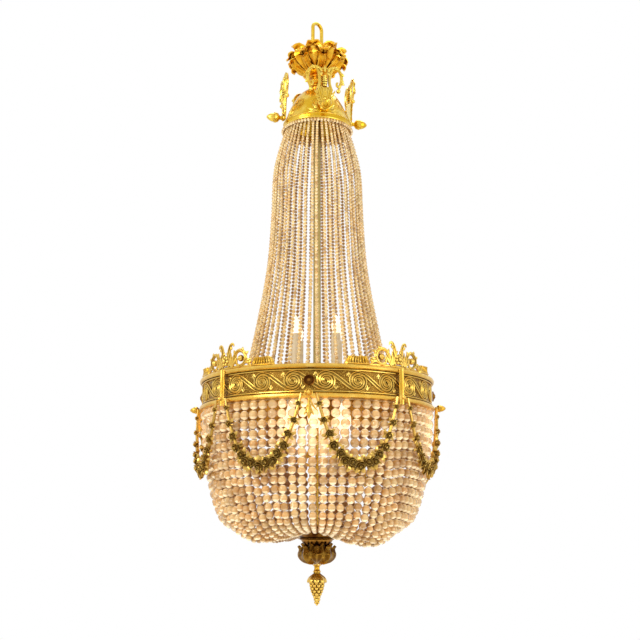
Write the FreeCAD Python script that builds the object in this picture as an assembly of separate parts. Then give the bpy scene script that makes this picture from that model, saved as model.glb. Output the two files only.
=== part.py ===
import FreeCAD, Part
import math
import os

V = FreeCAD.Vector

# A basket chandelier: a brass crown, a tent of bead strands, a scrolled ring with
# garlands, and a basket of bead strands gathered on a hub.
# Millimetres and degrees. The origin is the inside top of the hanging link, where
# the ceiling hook bears; +Z is up. Angles run from the front (-Y) towards +X.

# ---- clearances ----
SEAT_GAP = 0.3  # between fitted pieces that move together
HINGE_GAP = 0.8  # between the link's bow and the bore of the eye that swings on it
CROSSING_GAP = 1.0  # between neighbouring strands where one ends beside the other

# ---- hanging link and eye ----
LINK_WIRE = 8.0
LINK_INNER_WIDTH = 20.0
LINK_INNER_LENGTH = 60.0
LINK_TURN = 50.0
EYE_BAR = 8.0
EYE_LIP = 0.8  # how deep the straight bore cuts into the round bar
EYE_FOOT_DIAMETER = 18.0
EYE_FOOT_HEIGHT = 6.0
EYE_STUD_LENGTH = 22.0

# ---- stem ----
TUBE_DIAMETER = 16.0
TUBE_BORE = 12.0
TUBE_TAIL = 16.0  # what stands out below the spider's hub
NUT_ACROSS = 26.0
NUT_HEIGHT = 8.0

# ---- leaf canopy, collar and neck ----
CANOPY_TIP_DROP = 66.0
CANOPY_HEIGHT = 50.0
CANOPY_WIDE = 130.0
CANOPY_MOUTH = 112.0
CANOPY_FOOT = 52.0
CANOPY_WALL = 3.0
CANOPY_LEAVES = 8
COLLAR_DIAMETER = 64.0
COLLAR_HEIGHT = 8.0
NECK_HEIGHT = 30.0
NECK_WAIST = 24.0
NECK_BULB = 38.0

# ---- crown ----
CROWN_DIAMETER = 147.0
CROWN_HEIGHT = 95.0
CROWN_TOP_FLAT = 28.0
CROWN_WALL = 2.5
CROWN_TOP_PLATE = 4.5
CROWN_RIM_HEIGHT = 14.0
CROWN_SWELL = 0.38  # exponent of the dome's curve
CROWN_TURN = 16.0  # the crown stands turned against the ring
CROWN_SIDES = 20
CREST_COUNT = 4
CREST_THICKNESS = 6.0
CREST_FOOT = 19.0  # the crest's foot above the bottom of the rim
CREST_HEIGHT = 100.0
CREST_SPAN = 76.0
CREST_GRID_COUNT = (76, 103)  # squares across and up of the grid that the crest is drawn on
CROWN_ACORN_NECK = 8.0
CROWN_ACORN_RISE = 6.0  # above the crest's foot
ROPE_DIAMETER = 7.0
ROPE_OUTSET = 1.0  # from the rim to the rope's centre line

# ---- acorn knobs ----
ACORN_LENGTH = 26.0
ACORN_DIAMETER = 21.0
ACORN_NECK_SHARE = 0.38  # of the acorn's diameter
ACORN_FOOT_SHARE = 0.6
RING_ACORN_LENGTH = 19.0
RING_ACORN_DIAMETER = 15.0
RING_ACORN_NECK = 4.0
BOSS_DIAMETER = 21.0
BOSS_DEPTH = 6.0

# ---- tent of upper strands ----
TENT_STRAND_COUNT = 48
TENT_TOP_INSET = 9.5  # from the crown's outside to the strings
TENT_SHOULDER_SPREAD = 28.0  # how far out the strings stand there from their top
TENT_SHOULDER_DROP = 112.0
TENT_WAIST_SPREAD = 40.0
TENT_WAIST_RISE = 236.0
TENT_FOOT_INSET = 92.0  # from the ring's outside to the strings
TENT_BEAD_TOP = 6.0
TENT_BEAD_FOOT = 8.5
CARRIER_THICKNESS = 4.0
CARRIER_WIDTH = 14.0
CARRIER_LIFT = 5.0  # the upper hoop above the crown's rim

# ---- ring ----
HOOK_TO_RING = 800.0
RING_DIAMETER = 480.0
RING_HEIGHT = 64.0
RING_MOULDING = 8.0  # how far the mouldings stand out from the frieze ground
RING_MOULDING_HEIGHT = 12.0
RING_WALL = 4.0
RING_FLANGE = 16.0
RING_FLANGE_THICKNESS = 3.0
RING_FLANGE_DROP = 5.0
RING_SIDES = 48

# ---- scroll frieze ----
WAVE_COUNT = 24
WAVE_HEIGHT = 34.0
WAVE_RELIEF = 3.2
WAVE_RIBBON = 5.6
WAVE_EYE = 3.5
WAVE_WIND = 330.0  # how far each spiral winds in
WAVE_STEPS = 5

# ---- ring fittings ----
STRAP_WIDTH = 12.0
STRAP_DEPTH = 6.0
STRAP_OVERHANG = 6.0
RING_CREST_HEIGHT = 52.0
RING_CREST_SPAN = 74.0
RING_CREST_WING = 10.0  # degrees from the bow's middle to the middle of a wing
RING_CREST_THICKNESS = 6.0
RING_CREST_GRID_COUNT = (74, 52)  # squares across and up of the grid that the bow is drawn on
SHELL_WIDTH = 50.0
SHELL_HEIGHT = 16.0
SHELL_DEPTH = 9.0
SHELL_FLUTES = 5
SCREW_DIAMETER = 8.0
SCREW_HEAD = 4.0
SCREW_DROP = 57.0
DROP_LENGTH = 42.0
DROP_WIDTH = 20.0
DROP_THICKNESS = 4.0

# ---- swags ----
SWAG_COUNT = 8
SWAG_SAG = 128.0
SWAG_ROPE = 7.0
SWAG_FULL = 24.0
SWAG_SIDE_GAP = 3.2  # degrees between a swag's end and the screw beside it
SWAG_CURVE = 2.6
SWAG_LEAN = 6.0  # how far in it leans on the strands at its lowest point
SWAG_STEPS = 6

# ---- spider and lamps ----
ARM_WIDTH = 12.0
ARM_THICKNESS = 6.0
ARM_SCREW_DIAMETER = 10.0
ARM_SCREW_HEAD = 4.0
HUB_DISC_DIAMETER = 80.0
PLATE_DIAMETER = 148.0
PLATE_THICKNESS = 2.0
LAMP_COUNT = 4
CANDLE_RADIUS = 58.0
CUP_DIAMETER = 34.0
CUP_HEIGHT = 12.0
CUP_FLOOR = 7.0
SLEEVE_DIAMETER = 19.0
SLEEVE_LENGTH = 84.0
FLAME_DIAMETER = 18.0
FLAME_LENGTH = 39.0
LOWER_RADIUS = 54.0
SOCKET_DIAMETER = 24.0
SOCKET_LENGTH = 46.0
GLOBE_DIAMETER = 32.0
GLOBE_LENGTH = 56.0

# ---- basket of lower strands ----
BASKET_STRAND_COUNT = 72
BASKET_TOP_INSET = 13.0  # these insets run in from the ring's outside
BASKET_DEPTH = 230.0  # from the ring's underside to the hub flange
BASKET_BELLY_INSET = 39.0
BASKET_TURN_INSET = 62.0
BASKET_GROOVE_INSET = 124.0
BASKET_LOBE_SPREAD = 34.0
BASKET_LOBE_DROP = 22.0
BASKET_BEAD = 16.0
BASKET_BEAD_LOW = 12.0
BASKET_BEAD_END = 6.6

# ---- hub, cup and finial ----
ROD_DIAMETER = 7.0
ROD_CAP_HEIGHT = 3.0
HUB_FLANGE_DIAMETER = 118.0
HUB_FLANGE_THICKNESS = 3.0
HUB_SEAT_RADIUS = 54.5
FUNNEL_HEIGHT = 25.0
FUNNEL_FOOT = 66.0
LEAF_CUP_HEIGHT = 47.0
LEAF_CUP_DIAMETER = 73.0
FINIAL_LENGTH = 80.0
FINIAL_DIAMETER = 40.0

# ---- levels worked out from the sizes above ----
HINGE_Z = -LINK_INNER_LENGTH - LINK_WIRE / 2
EYE_BORE_RADIUS = LINK_WIRE / 2 + HINGE_GAP
EYE_MIDDLE_RADIUS = EYE_BORE_RADIUS - EYE_LIP + EYE_BAR / 2
TUBE_TOP = HINGE_Z - EYE_MIDDLE_RADIUS - EYE_BAR / 2 - EYE_FOOT_HEIGHT / 2
NUT_CORNER = NUT_ACROSS / 2 / math.cos(math.pi / 6)
CANOPY_BASE = -CANOPY_TIP_DROP - CANOPY_HEIGHT
COLLAR_BASE = CANOPY_BASE - COLLAR_HEIGHT
CROWN_TOP = COLLAR_BASE - NECK_HEIGHT
CROWN_RIM = CROWN_TOP - CROWN_HEIGHT
RING_TOP = -HOOK_TO_RING
RING_BOTTOM = RING_TOP - RING_HEIGHT
RING_RADIUS = RING_DIAMETER / 2
ROPE_LINE_RADIUS = CROWN_DIAMETER / 2 + ROPE_OUTSET
TENT_TOP_RADIUS = CROWN_DIAMETER / 2 - TENT_TOP_INSET
TENT_FOOT_RADIUS = RING_RADIUS - TENT_FOOT_INSET
BASKET_TOP_RADIUS = RING_RADIUS - BASKET_TOP_INSET
BASKET_GROOVE_RADIUS = RING_RADIUS - BASKET_GROOVE_INSET
GROUND_RADIUS = RING_RADIUS - RING_MOULDING
RING_INSIDE = GROUND_RADIUS - RING_WALL
WAVE_BACK = GROUND_RADIUS + 2 * SEAT_GAP  # clears the flats of the band between its corners
ARM_BASE = RING_TOP - RING_FLANGE_DROP
ARM_TOP = ARM_BASE + ARM_THICKNESS
PLATE_TOP = ARM_TOP + PLATE_THICKNESS
TUBE_END = ARM_BASE - TUBE_TAIL
CROWN_CARRIER_Z = CROWN_RIM + CARRIER_LIFT
TENT_FOOT_Z = ARM_TOP + CARRIER_THICKNESS
HUB_SEAT_Z = RING_BOTTOM - BASKET_DEPTH
FUNNEL_BASE = HUB_SEAT_Z - FUNNEL_HEIGHT
LEAF_CUP_BASE = FUNNEL_BASE - LEAF_CUP_HEIGHT


# ---- helpers ----
def at(radius, angle, z):
    """A point at a radius, an angle from the front and a height."""
    turn = math.radians(angle)
    return V(radius * math.sin(turn), -radius * math.cos(turn), z)


def turned(shape, angle):
    """A copy of a shape made at the front, turned round the stem to an angle."""
    copy = shape.copy()
    copy.rotate(V(0, 0, 0), V(0, 0, 1), angle)
    return copy


def all_round(shape, count, first=0.0):
    """Copies of a shape spaced evenly round the stem."""
    return [turned(shape, first + 360.0 * k / count) for k in range(count)]


def flat(points):
    return Part.Face(Part.makePolygon(points + [points[0]]))


def facets(a, b, c, d):
    """One flat face over four points, or two where they don't lie in one plane."""
    corners = [p for k, p in enumerate((a, b, c, d)) if (p - (d, a, b, c)[k]).Length > 1e-6]
    if len(corners) < 3:
        return []
    if len(corners) == 4:
        normal = (b - a).cross(c - a)
        if abs(normal.dot(d - a)) > 1e-6 * max(normal.Length, 1e-9):
            return [flat([a, b, c]), flat([a, c, d])]
    return [flat(corners)]


def solid_of(faces):
    solid = Part.makeSolid(Part.makeShell(faces))
    if solid.Volume < 0:
        solid.reverse()
    return solid


def skin(rings, closed=False):
    """A solid over rings of points, which closes on itself or ends in flat caps."""
    faces = []
    following = rings[1:] + ([rings[0]] if closed else [])
    for low, high in zip(rings, following):
        for k in range(len(low)):
            after = (k + 1) % len(low)
            faces += facets(low[k], low[after], high[after], high[k])
    if not closed:
        for end in (rings[0], rings[-1]):
            if max((p - end[0]).Length for p in end) > 1e-6:
                faces.append(flat(end))
    return solid_of(faces)


def ring_of(radius, z, sides, petals=0, swell=0.0, lift=0.0):
    """A level loop of points; petals swell and lift it in waves."""
    points = []
    for k in range(sides):
        angle = 360.0 * k / sides
        wave = math.cos(math.radians(petals * angle)) if petals else 0.0
        points.append(at(radius * (1 + swell * wave), angle, z + lift * wave))
    return points


def lathe(outline, sides, closed=False):
    """A turned piece from (radius, height) points; closed where it has a bore."""
    return skin([ring_of(r, z, sides) for r, z in outline], closed)


def clear_bore(diameter, sides):
    """Corner radius of a many-sided bore that clears a round stem by the seat gap."""
    return (diameter / 2 + SEAT_GAP) / math.cos(math.pi / sides)


def moved(shape, x=0.0, y=0.0, z=0.0):
    copy = shape.copy()
    copy.translate(V(x, y, z))
    return copy


def outward(shape, out, z):
    """A piece turned about its own axis laid over so that it points to the front."""
    copy = shape.copy()
    copy.rotate(V(0, 0, 0), V(1, 0, 0), 90)
    copy.translate(V(0, -out, z))
    return copy


def slab(outline, out, thickness, z=0.0):
    """A flat casting from (across, up) points, from one distance out to another."""
    points = [V(u, -out, z + w) for u, w in outline]
    return flat(points).extrude(V(0, -thickness, 0))


def limb(line, widths):
    """The outline of a strip of changing width along a line of (across, up) points."""
    left, right = [], []
    for k, (u, w) in enumerate(line):
        before, after = line[max(k - 1, 0)], line[min(k + 1, len(line) - 1)]
        du, dw = after[0] - before[0], after[1] - before[1]
        size = math.hypot(du, dw)
        nu, nw = -dw / size, du / size
        half = widths[k] / 2
        left.append((u + nu * half, w + nw * half))
        right.append((u - nu * half, w - nw * half))
    return left + right[::-1]


def mirrored(points):
    return [(-u, w) for u, w in points]


def fused(shapes):
    whole = shapes[0]
    for shape in shapes[1:]:
        whole = whole.fuse(shape)
    return whole.removeSplitter().Solids[0]


def save(name, *solids):
    shape = solids[0] if len(solids) == 1 else Part.makeCompound(list(solids))
    for solid in shape.Solids:
        if not solid.isValid() or solid.Volume <= 0:
            print("bad solid in", name)
    shape.exportStep("parts/" + name + ".step")


# ---- hanging link and eye ----
def hanging_link():
    """An oval link of round wire; its lower bow is the pin that the eye swings on."""
    bow = (LINK_INNER_WIDTH + LINK_WIRE) / 2
    straight = LINK_INNER_LENGTH - LINK_INNER_WIDTH
    rings = []
    for step in range(14):
        angle = step * 30.0 if step < 7 else (step - 1) * 30.0
        centre = -LINK_INNER_WIDTH / 2 if step < 7 else -LINK_INNER_WIDTH / 2 - straight
        turn = math.radians(angle)
        ring = []
        for k in range(8):
            around = math.radians(45.0 * k)
            reach = bow + LINK_WIRE / 2 * math.cos(around)
            ring.append(V(reach * math.cos(turn), LINK_WIRE / 2 * math.sin(around),
                          centre + reach * math.sin(turn)))
        rings.append(ring)
    return turned(skin(rings, closed=True), LINK_TURN)


def stem_eye():
    """A bored eye square to the link, with a foot and a stud that enters the tube."""
    rings = []
    for step in range(14):
        turn = math.radians(90 + 360.0 * step / 14)
        ring = []
        for k in range(7):
            around = math.radians(360.0 * k / 7)
            reach = EYE_MIDDLE_RADIUS + EYE_BAR / 2 * math.cos(around)
            ring.append(V(EYE_BAR / 2 * math.sin(around), reach * math.cos(turn),
                          HINGE_Z + reach * math.sin(turn)))
        rings.append(ring)
    stud = TUBE_BORE / 2 - SEAT_GAP
    foot_top = TUBE_TOP + EYE_FOOT_HEIGHT
    foot = lathe([(0, foot_top), (EYE_FOOT_DIAMETER / 3, foot_top),
                  (EYE_FOOT_DIAMETER / 2, TUBE_TOP + EYE_FOOT_HEIGHT / 3),
                  (EYE_FOOT_DIAMETER / 2, TUBE_TOP), (stud, TUBE_TOP),
                  (stud, TUBE_TOP - EYE_STUD_LENGTH), (0, TUBE_TOP - EYE_STUD_LENGTH)], 10)
    bore = Part.makeCylinder(EYE_BORE_RADIUS, 2 * EYE_BAR, V(-EYE_BAR, 0, HINGE_Z), V(1, 0, 0))
    return turned(fused([skin(rings, closed=True), foot]).cut(bore).Solids[0], LINK_TURN)


def stem_tube():
    outer, bore = TUBE_DIAMETER / 2, clear_bore(TUBE_BORE - 2 * SEAT_GAP, 12)
    return lathe([(bore, TUBE_END), (outer, TUBE_END), (outer, TUBE_TOP), (bore, TUBE_TOP)], 12, closed=True)


def stem_nut(z):
    """A hexagon nut that clamps a piece on the tube."""
    bore = clear_bore(TUBE_DIAMETER, 6)
    top = z + NUT_HEIGHT
    return lathe([(bore, z), (NUT_CORNER, z), (NUT_CORNER, top), (bore, top)], 6, closed=True)


# ---- leaf canopy, collar and neck ----
def leaf_canopy():
    """A flared cup of acanthus leaves, open at the top round the link."""
    sides = CANOPY_LEAVES * 3
    base = CANOPY_BASE
    bore = clear_bore(TUBE_DIAMETER, sides)
    foot, wide, mouth = CANOPY_FOOT / 2, CANOPY_WIDE / 2, CANOPY_MOUTH / 2
    # radius, share of the height, how far the leaves swell and how far they lift
    outside = [(foot, 0.0, 0.0, 0.0), (foot * 1.25, 0.13, 0.03, 0.0),
               (wide * 0.78, 0.38, 0.05, 0.0), (wide * 0.95, 0.58, 0.07, 1.0),
               (wide * 0.94, 0.76, 0.08, 3.0), (mouth, 0.93, 0.05, 5.0)]
    inside = [(r - CANOPY_WALL, share, swell, lift) for r, share, swell, lift in outside[:1:-1]]
    rings = [ring_of(bore, base, sides)]
    for r, share, swell, lift in outside + inside:
        rings.append(ring_of(r, base + share * CANOPY_HEIGHT, sides, CANOPY_LEAVES, swell, lift))
    rings.append(ring_of(foot - CANOPY_WALL, base + CANOPY_WALL, sides))
    rings.append(ring_of(bore, base + CANOPY_WALL, sides))
    return skin(rings, closed=True)


def canopy_collar():
    r = COLLAR_DIAMETER / 2
    low, high = COLLAR_BASE, CANOPY_BASE
    bore = clear_bore(TUBE_DIAMETER, 12)
    return lathe([(bore, low), (r * 0.7, low), (r, low + 2.5), (r, high - 2.5),
                  (r * 0.85, high), (bore, high)], 12, closed=True)


def neck_baluster():
    low = CROWN_TOP
    bore = clear_bore(TUBE_DIAMETER, 12)
    waist, bulb = NECK_WAIST / 2, NECK_BULB / 2
    return lathe([(bore, low), (bulb * 0.8, low), (waist, low + 0.25 * NECK_HEIGHT),
                  (bulb, low + 0.5 * NECK_HEIGHT), (bulb, low + 0.65 * NECK_HEIGHT),
                  (waist, low + 0.85 * NECK_HEIGHT), (bulb * 0.9, low + NECK_HEIGHT),
                  (bore, low + NECK_HEIGHT)], 12, closed=True)


# ---- crown ----
def dome_radius(drop):
    """Radius of the dome at a depth below its top."""
    depth = CROWN_HEIGHT - CROWN_RIM_HEIGHT
    rim = CROWN_DIAMETER / 2 - 2.0
    return max(CROWN_TOP_FLAT / 2, rim * (drop / depth) ** CROWN_SWELL)


def crown_dome():
    """A thin dome with a banded rim, clamped to the tube at its top."""
    depth = CROWN_HEIGHT - CROWN_RIM_HEIGHT
    rim = CROWN_DIAMETER / 2
    bore = clear_bore(TUBE_DIAMETER, CROWN_SIDES)
    drops = [depth * share for share in (0.05, 0.16, 0.34, 0.62, 1.0)]
    outside = [(bore, CROWN_TOP), (CROWN_TOP_FLAT / 2, CROWN_TOP)]
    outside += [(dome_radius(d), CROWN_TOP - d) for d in drops]
    outside += [(rim, CROWN_RIM + CROWN_RIM_HEIGHT - 2.0), (rim, CROWN_RIM)]
    wall = rim - CROWN_WALL
    inside = [(wall, CROWN_RIM), (wall, CROWN_CARRIER_Z + CARRIER_THICKNESS + 1.0)]
    inside += [(dome_radius(d) - CROWN_WALL, CROWN_TOP - d) for d in drops[4:1:-1]]
    inside += [(NUT_CORNER + SEAT_GAP, CROWN_TOP - CROWN_TOP_PLATE), (bore, CROWN_TOP - CROWN_TOP_PLATE)]
    return lathe(outside + inside, CROWN_SIDES, closed=True)


def crown_carrier():
    """The flat hoop inside the rim that the tent's strands hang from."""
    outer = CROWN_DIAMETER / 2 - CROWN_WALL - SEAT_GAP
    inner = outer - CARRIER_WIDTH
    low, high = CROWN_CARRIER_Z, CROWN_CARRIER_Z + CARRIER_THICKNESS
    return lathe([(inner, low), (outer, low), (outer, high), (inner, high)], CROWN_SIDES, closed=True)


def crown_rope():
    """The string of small beads that runs round under the rim."""
    half = ROPE_DIAMETER / 2
    middle = CROWN_RIM - SEAT_GAP - half
    line = ROPE_LINE_RADIUS
    return lathe([(line - half, middle), (line, middle - half), (line + half, middle),
                  (line, middle + half)], CROWN_SIDES, closed=True)


def crown_crest():
    """A pierced crest: a shield, two arms that turn over to knobs, and a top leaf."""
    shield = [(0, 0), (9, 2), (11, 11), (15, 28), (19, 48), (12, 54)]
    arm = [(15, 46), (12, 62), (13, 78), (20, 91), (29, 90), (34, 79), (34, 65), (32, 53), (31, 43)]
    widths = [9, 7, 7, 8, 9, 8, 8, 7, 11]
    leaf = [(0, 80), (15, 84), (8, 94), (0, 103)]
    heart = [(19, 56), (24, 78)]

    def sized(points):
        across, up = CREST_SPAN / CREST_GRID_COUNT[0], CREST_HEIGHT / CREST_GRID_COUNT[1]
        return [(u * across, w * up) for u, w in points]

    shapes = [slab(sized(shield + mirrored(shield[:0:-1])), 0, CREST_THICKNESS),
              slab(sized(leaf + mirrored(leaf[-2:0:-1])), 0, CREST_THICKNESS)]
    for side in (lambda p: p, mirrored):
        shapes.append(slab(side(sized(limb(arm, widths))), 0, CREST_THICKNESS))
        shapes.append(slab(side(sized(limb(heart, [12, 7]))), 0, CREST_THICKNESS - 1.0))
    return fused(shapes)


def acorn(length, diameter, neck):
    """An acorn knob on its neck, pointing up its own axis from the seat at 0."""
    r, thin = diameter / 2, diameter * ACORN_NECK_SHARE / 2
    return lathe([(0, 0), (diameter * ACORN_FOOT_SHARE / 2, 0), (thin, neck), (r * 0.9, neck + length * 0.12),
                  (r, neck + length * 0.38), (r * 0.66, neck + length * 0.78),
                  (0, neck + length)], 6)


# ---- strands ----
def strand(angle, line, deep, wide):
    """A string of beads as a slender three-sided bar along a line of (radius, height)."""
    rings = []
    for k, (r, z) in enumerate(line):
        if k in (0, len(line) - 1):
            across, down = 1.0, 0.0
        else:
            dr, dz = line[k + 1][0] - line[k - 1][0], line[k + 1][1] - line[k - 1][1]
            size = math.hypot(dr, dz)
            across, down = abs(dz) / size, dr * (1 if dz < 0 else -1) / size
        half, side = deep[k] / 2, wide[k] / 2
        ring = []
        for out, along in ((half, -side), (half, side), (-half, 0.0)):
            turn = math.radians(angle)
            radius = r + out * across
            x, y = along, -radius
            ring.append(V(x * math.cos(turn) - y * math.sin(turn),
                          x * math.sin(turn) + y * math.cos(turn), z + out * down))
        rings.append(ring)
    return skin(rings)


def tent_line():
    return [(TENT_TOP_RADIUS, CROWN_CARRIER_Z),
            (TENT_TOP_RADIUS + TENT_SHOULDER_SPREAD, CROWN_CARRIER_Z - TENT_SHOULDER_DROP),
            (TENT_TOP_RADIUS + TENT_WAIST_SPREAD, TENT_FOOT_Z + TENT_WAIST_RISE),
            (TENT_FOOT_RADIUS, TENT_FOOT_Z)]


def tent_strand(index):
    """An upper strand, from the crown's hoop down to the hoop on the arms."""
    beads = [TENT_BEAD_TOP, TENT_BEAD_TOP + 1.0, TENT_BEAD_FOOT - 0.5, TENT_BEAD_FOOT]
    return strand(360.0 * (index + 0.5) / TENT_STRAND_COUNT, tent_line(), beads, beads)


def tent_carrier():
    """The flat hoop on the spider's arms that the tent's strands end on."""
    inner, outer = TENT_FOOT_RADIUS - CARRIER_WIDTH / 2, TENT_FOOT_RADIUS + CARRIER_WIDTH / 2
    return lathe([(inner, ARM_TOP), (outer, ARM_TOP), (outer, TENT_FOOT_Z), (inner, TENT_FOOT_Z)],
                 24, closed=True)


def basket_strand(index):
    """A lower strand: out of the ring, round the lobed belly and in to the hub."""
    angle = 360.0 * (index + 0.5) / BASKET_STRAND_COUNT
    lobe = math.sin(math.radians(2 * angle)) ** 2
    top, seat = RING_BOTTOM, HUB_SEAT_Z
    line = [(BASKET_TOP_RADIUS, top), (BASKET_TOP_RADIUS - 2, top - 0.28 * BASKET_DEPTH),
            (RING_RADIUS - BASKET_BELLY_INSET, top - 0.80 * BASKET_DEPTH),
            (RING_RADIUS - BASKET_TURN_INSET + 4 * lobe, top - 0.97 * BASKET_DEPTH - 8 * lobe),
            (BASKET_GROOVE_RADIUS + BASKET_LOBE_SPREAD * lobe, seat - 8 - BASKET_LOBE_DROP * lobe)]
    deep = [BASKET_BEAD, BASKET_BEAD, BASKET_BEAD - 2, BASKET_BEAD_LOW, BASKET_BEAD_LOW]
    pitch = 2 * math.pi * BASKET_GROOVE_RADIUS / BASKET_STRAND_COUNT
    wide = deep[:4] + [2 * (pitch - CROSSING_GAP) - BASKET_BEAD_LOW]
    if index % 2 == 0:
        line += [(HUB_SEAT_RADIUS + 14, seat - 8 - 0.3 * BASKET_LOBE_DROP * lobe),
                 (HUB_SEAT_RADIUS, seat)]
        deep += [BASKET_BEAD_END + 2, BASKET_BEAD_END]
        wide = deep[:]
    return strand(angle, line, deep, wide)


# ---- ring ----
def ring_band():
    """The main ring: a rolled channel with a moulding along each edge."""
    r, ground, inside = RING_RADIUS, GROUND_RADIUS, RING_INSIDE
    lip = inside - RING_FLANGE
    top, bottom, high = RING_TOP, RING_BOTTOM, RING_MOULDING_HEIGHT
    shelf = top - RING_FLANGE_DROP
    thick = RING_FLANGE_THICKNESS
    round_off = RING_MOULDING * 0.3
    outline = [(r - round_off, bottom), (r, bottom + high * 0.4), (ground, bottom + high),
               (ground, top - high), (r, top - high * 0.4), (r - round_off, top),
               (inside, top), (inside, shelf), (lip, shelf), (lip, shelf - thick),
               (inside, shelf - thick), (inside, bottom + thick), (lip, bottom + thick), (lip, bottom)]
    return lathe(outline, RING_SIDES, closed=True)


def wave_line():
    """One link of the running scroll: out of one spiral, over, down and into the next."""
    pitch = 2 * math.pi * GROUND_RADIUS / WAVE_COUNT
    outer = WAVE_HEIGHT / 2
    leaving = []
    for step in range(WAVE_STEPS + 1):
        share = step / WAVE_STEPS
        turn = math.radians(90 + WAVE_WIND * (1 - share))
        radius = WAVE_EYE + (outer - WAVE_EYE) * share
        leaving.append((radius * math.cos(turn), radius * math.sin(turn)))
    crossing = [(pitch * share, outer * math.cos(math.pi * share)) for share in (1 / 3, 2 / 3)]
    arriving = [(pitch - u, -w) for u, w in leaving[::-1]]
    return leaving + crossing + arriving


def wave(angle):
    """A raised ridge along the scroll line, bent round the ring."""
    line = wave_line()
    rings = []
    for k, (u, w) in enumerate(line):
        before, after = line[max(k - 1, 0)], line[min(k + 1, len(line) - 1)]
        du, dw = after[0] - before[0], after[1] - before[1]
        size = math.hypot(du, dw)
        half = WAVE_RIBBON / 2 * (0.55 if k in (0, len(line) - 1) else 1.0)
        ring = []
        for side, out in ((-1, 0.0), (0, WAVE_RELIEF), (1, 0.0)):
            across = u - dw / size * half * side
            up = w + du / size * half * side
            turn = angle + math.degrees(across / GROUND_RADIUS)
            ring.append(at(WAVE_BACK + out, turn, RING_TOP - RING_HEIGHT / 2 + up))
        rings.append(ring)
    return skin(rings)


def corner_strap():
    """A half-round upright that covers a joint of the ring."""
    half, out = STRAP_WIDTH / 2, RING_RADIUS + SEAT_GAP
    section = [(-half, 0), (-half * 0.8, STRAP_DEPTH * 0.6), (0, STRAP_DEPTH),
               (half * 0.8, STRAP_DEPTH * 0.6), (half, 0)]
    low = RING_BOTTOM - STRAP_OVERHANG
    points = [V(u, -out - d, low) for u, d in section]
    return flat(points).extrude(V(0, 0, RING_TOP - 2.0 - low))


def ring_crest():
    """A ribbon bow bent round the ring's top edge: horns and a rosette between two looped wings."""
    out, thick = RING_INSIDE + 2.0, RING_CREST_THICKNESS
    horn = [(3, 8), (8, 26), (13, 42), (19, 49)]
    leaf = [(12, 0), (24, 0), (27, 14), (22, 31), (13, 18)]
    loop = [(-14, 12), (-12, 28), (0, 33), (12, 24), (12, 11), (2, 4), (-8, 5)]
    tail = [(6, 6), (17, 8), (22, 4), (25, 0)]
    centre = [(-22, 0), (22, 0), (12, 14), (8, 24), (-8, 24), (-12, 14)]
    rosette = [(9 * math.sin(math.radians(45 * n)), 16 + 9 * math.cos(math.radians(45 * n)))
               for n in range(8)]

    def sized(points):
        across = RING_CREST_SPAN / RING_CREST_GRID_COUNT[0]
        up = RING_CREST_HEIGHT / RING_CREST_GRID_COUNT[1]
        return [(u * across, max(w, 0.0) * up) for u, w in points]

    shapes = [slab(sized(centre), out, thick, RING_TOP),
              slab(sized(rosette), out - 1.0, thick + 4.0, RING_TOP)]
    for side, wing in ((lambda p: p, RING_CREST_WING), (mirrored, -RING_CREST_WING)):
        shapes.append(slab(side(sized(limb(horn, [10, 7, 6, 4]))), out, thick, RING_TOP))
        shapes.append(slab(side(sized(leaf)), out, thick, RING_TOP))
        shapes.append(turned(slab(side(sized(limb(loop, [7] * 7))), out, thick, RING_TOP), wing))
        shapes.append(turned(slab(side(sized(limb(tail, [7, 7, 6, 5]))), out, thick, RING_TOP), wing))
    return fused(shapes)


def fluted_shell():
    """A low fluted shell that stands on the ring's top edge."""
    back = RING_INSIDE + 2.0
    rings = []
    for height, shrink in ((0.0, 1.0), (SHELL_HEIGHT, 0.74)):
        half = SHELL_WIDTH / 2 * shrink
        ring = [V(-half, -back, RING_TOP + height)]
        for k in range(2 * SHELL_FLUTES + 1):
            u = -half + 2 * half * k / (2 * SHELL_FLUTES)
            depth = (SHELL_DEPTH - (0.0 if k % 2 else 2.2)) * (0.6 + 0.4 * shrink)
            ring.append(V(u, -back - depth, RING_TOP + height))
        ring.append(V(half, -back, RING_TOP + height))
        rings.append(ring)
    return skin(rings)


def ring_acorn():
    """An acorn knob that points out from the lower moulding, between two swags' ends."""
    knob = acorn(RING_ACORN_LENGTH, RING_ACORN_DIAMETER, RING_ACORN_NECK)
    return outward(knob, RING_RADIUS + SEAT_GAP, RING_TOP - SCREW_DROP)


def frieze_boss():
    """A stepped round boss over the middle of the frieze, where two waves of the scroll meet."""
    r, depth = BOSS_DIAMETER / 2, BOSS_DEPTH
    boss = lathe([(0, 0), (r, 0), (r, depth * 0.4), (r * 0.72, depth * 0.75), (r * 0.4, depth),
                  (0, depth)], 10)
    return outward(boss, WAVE_BACK + WAVE_RELIEF + SEAT_GAP, RING_TOP - RING_HEIGHT / 2)


def swag_screw(out):
    """A domed screw in the lower moulding that a swag hangs from."""
    r = SCREW_DIAMETER / 2
    head = lathe([(0, 0), (r, 0), (r * 0.8, SCREW_HEAD * 0.6), (0, SCREW_HEAD)], 6)
    return outward(head, out, RING_TOP - SCREW_DROP)


def ribbon_drop():
    """A hanging leaf under the knob at the middle of each side."""
    half = DROP_WIDTH / 2
    outline = [(0, 0), (half * 0.3, -0.04 * DROP_LENGTH), (half * 0.35, -0.45 * DROP_LENGTH),
               (half, -0.72 * DROP_LENGTH), (half * 0.4, -0.86 * DROP_LENGTH), (0, -DROP_LENGTH)]
    top = RING_TOP - SCREW_DROP - RING_ACORN_DIAMETER * ACORN_FOOT_SHARE / 2 - SEAT_GAP
    return slab(outline + mirrored(outline[-2:0:-1]), RING_RADIUS + SEAT_GAP, DROP_THICKNESS, top)


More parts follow.
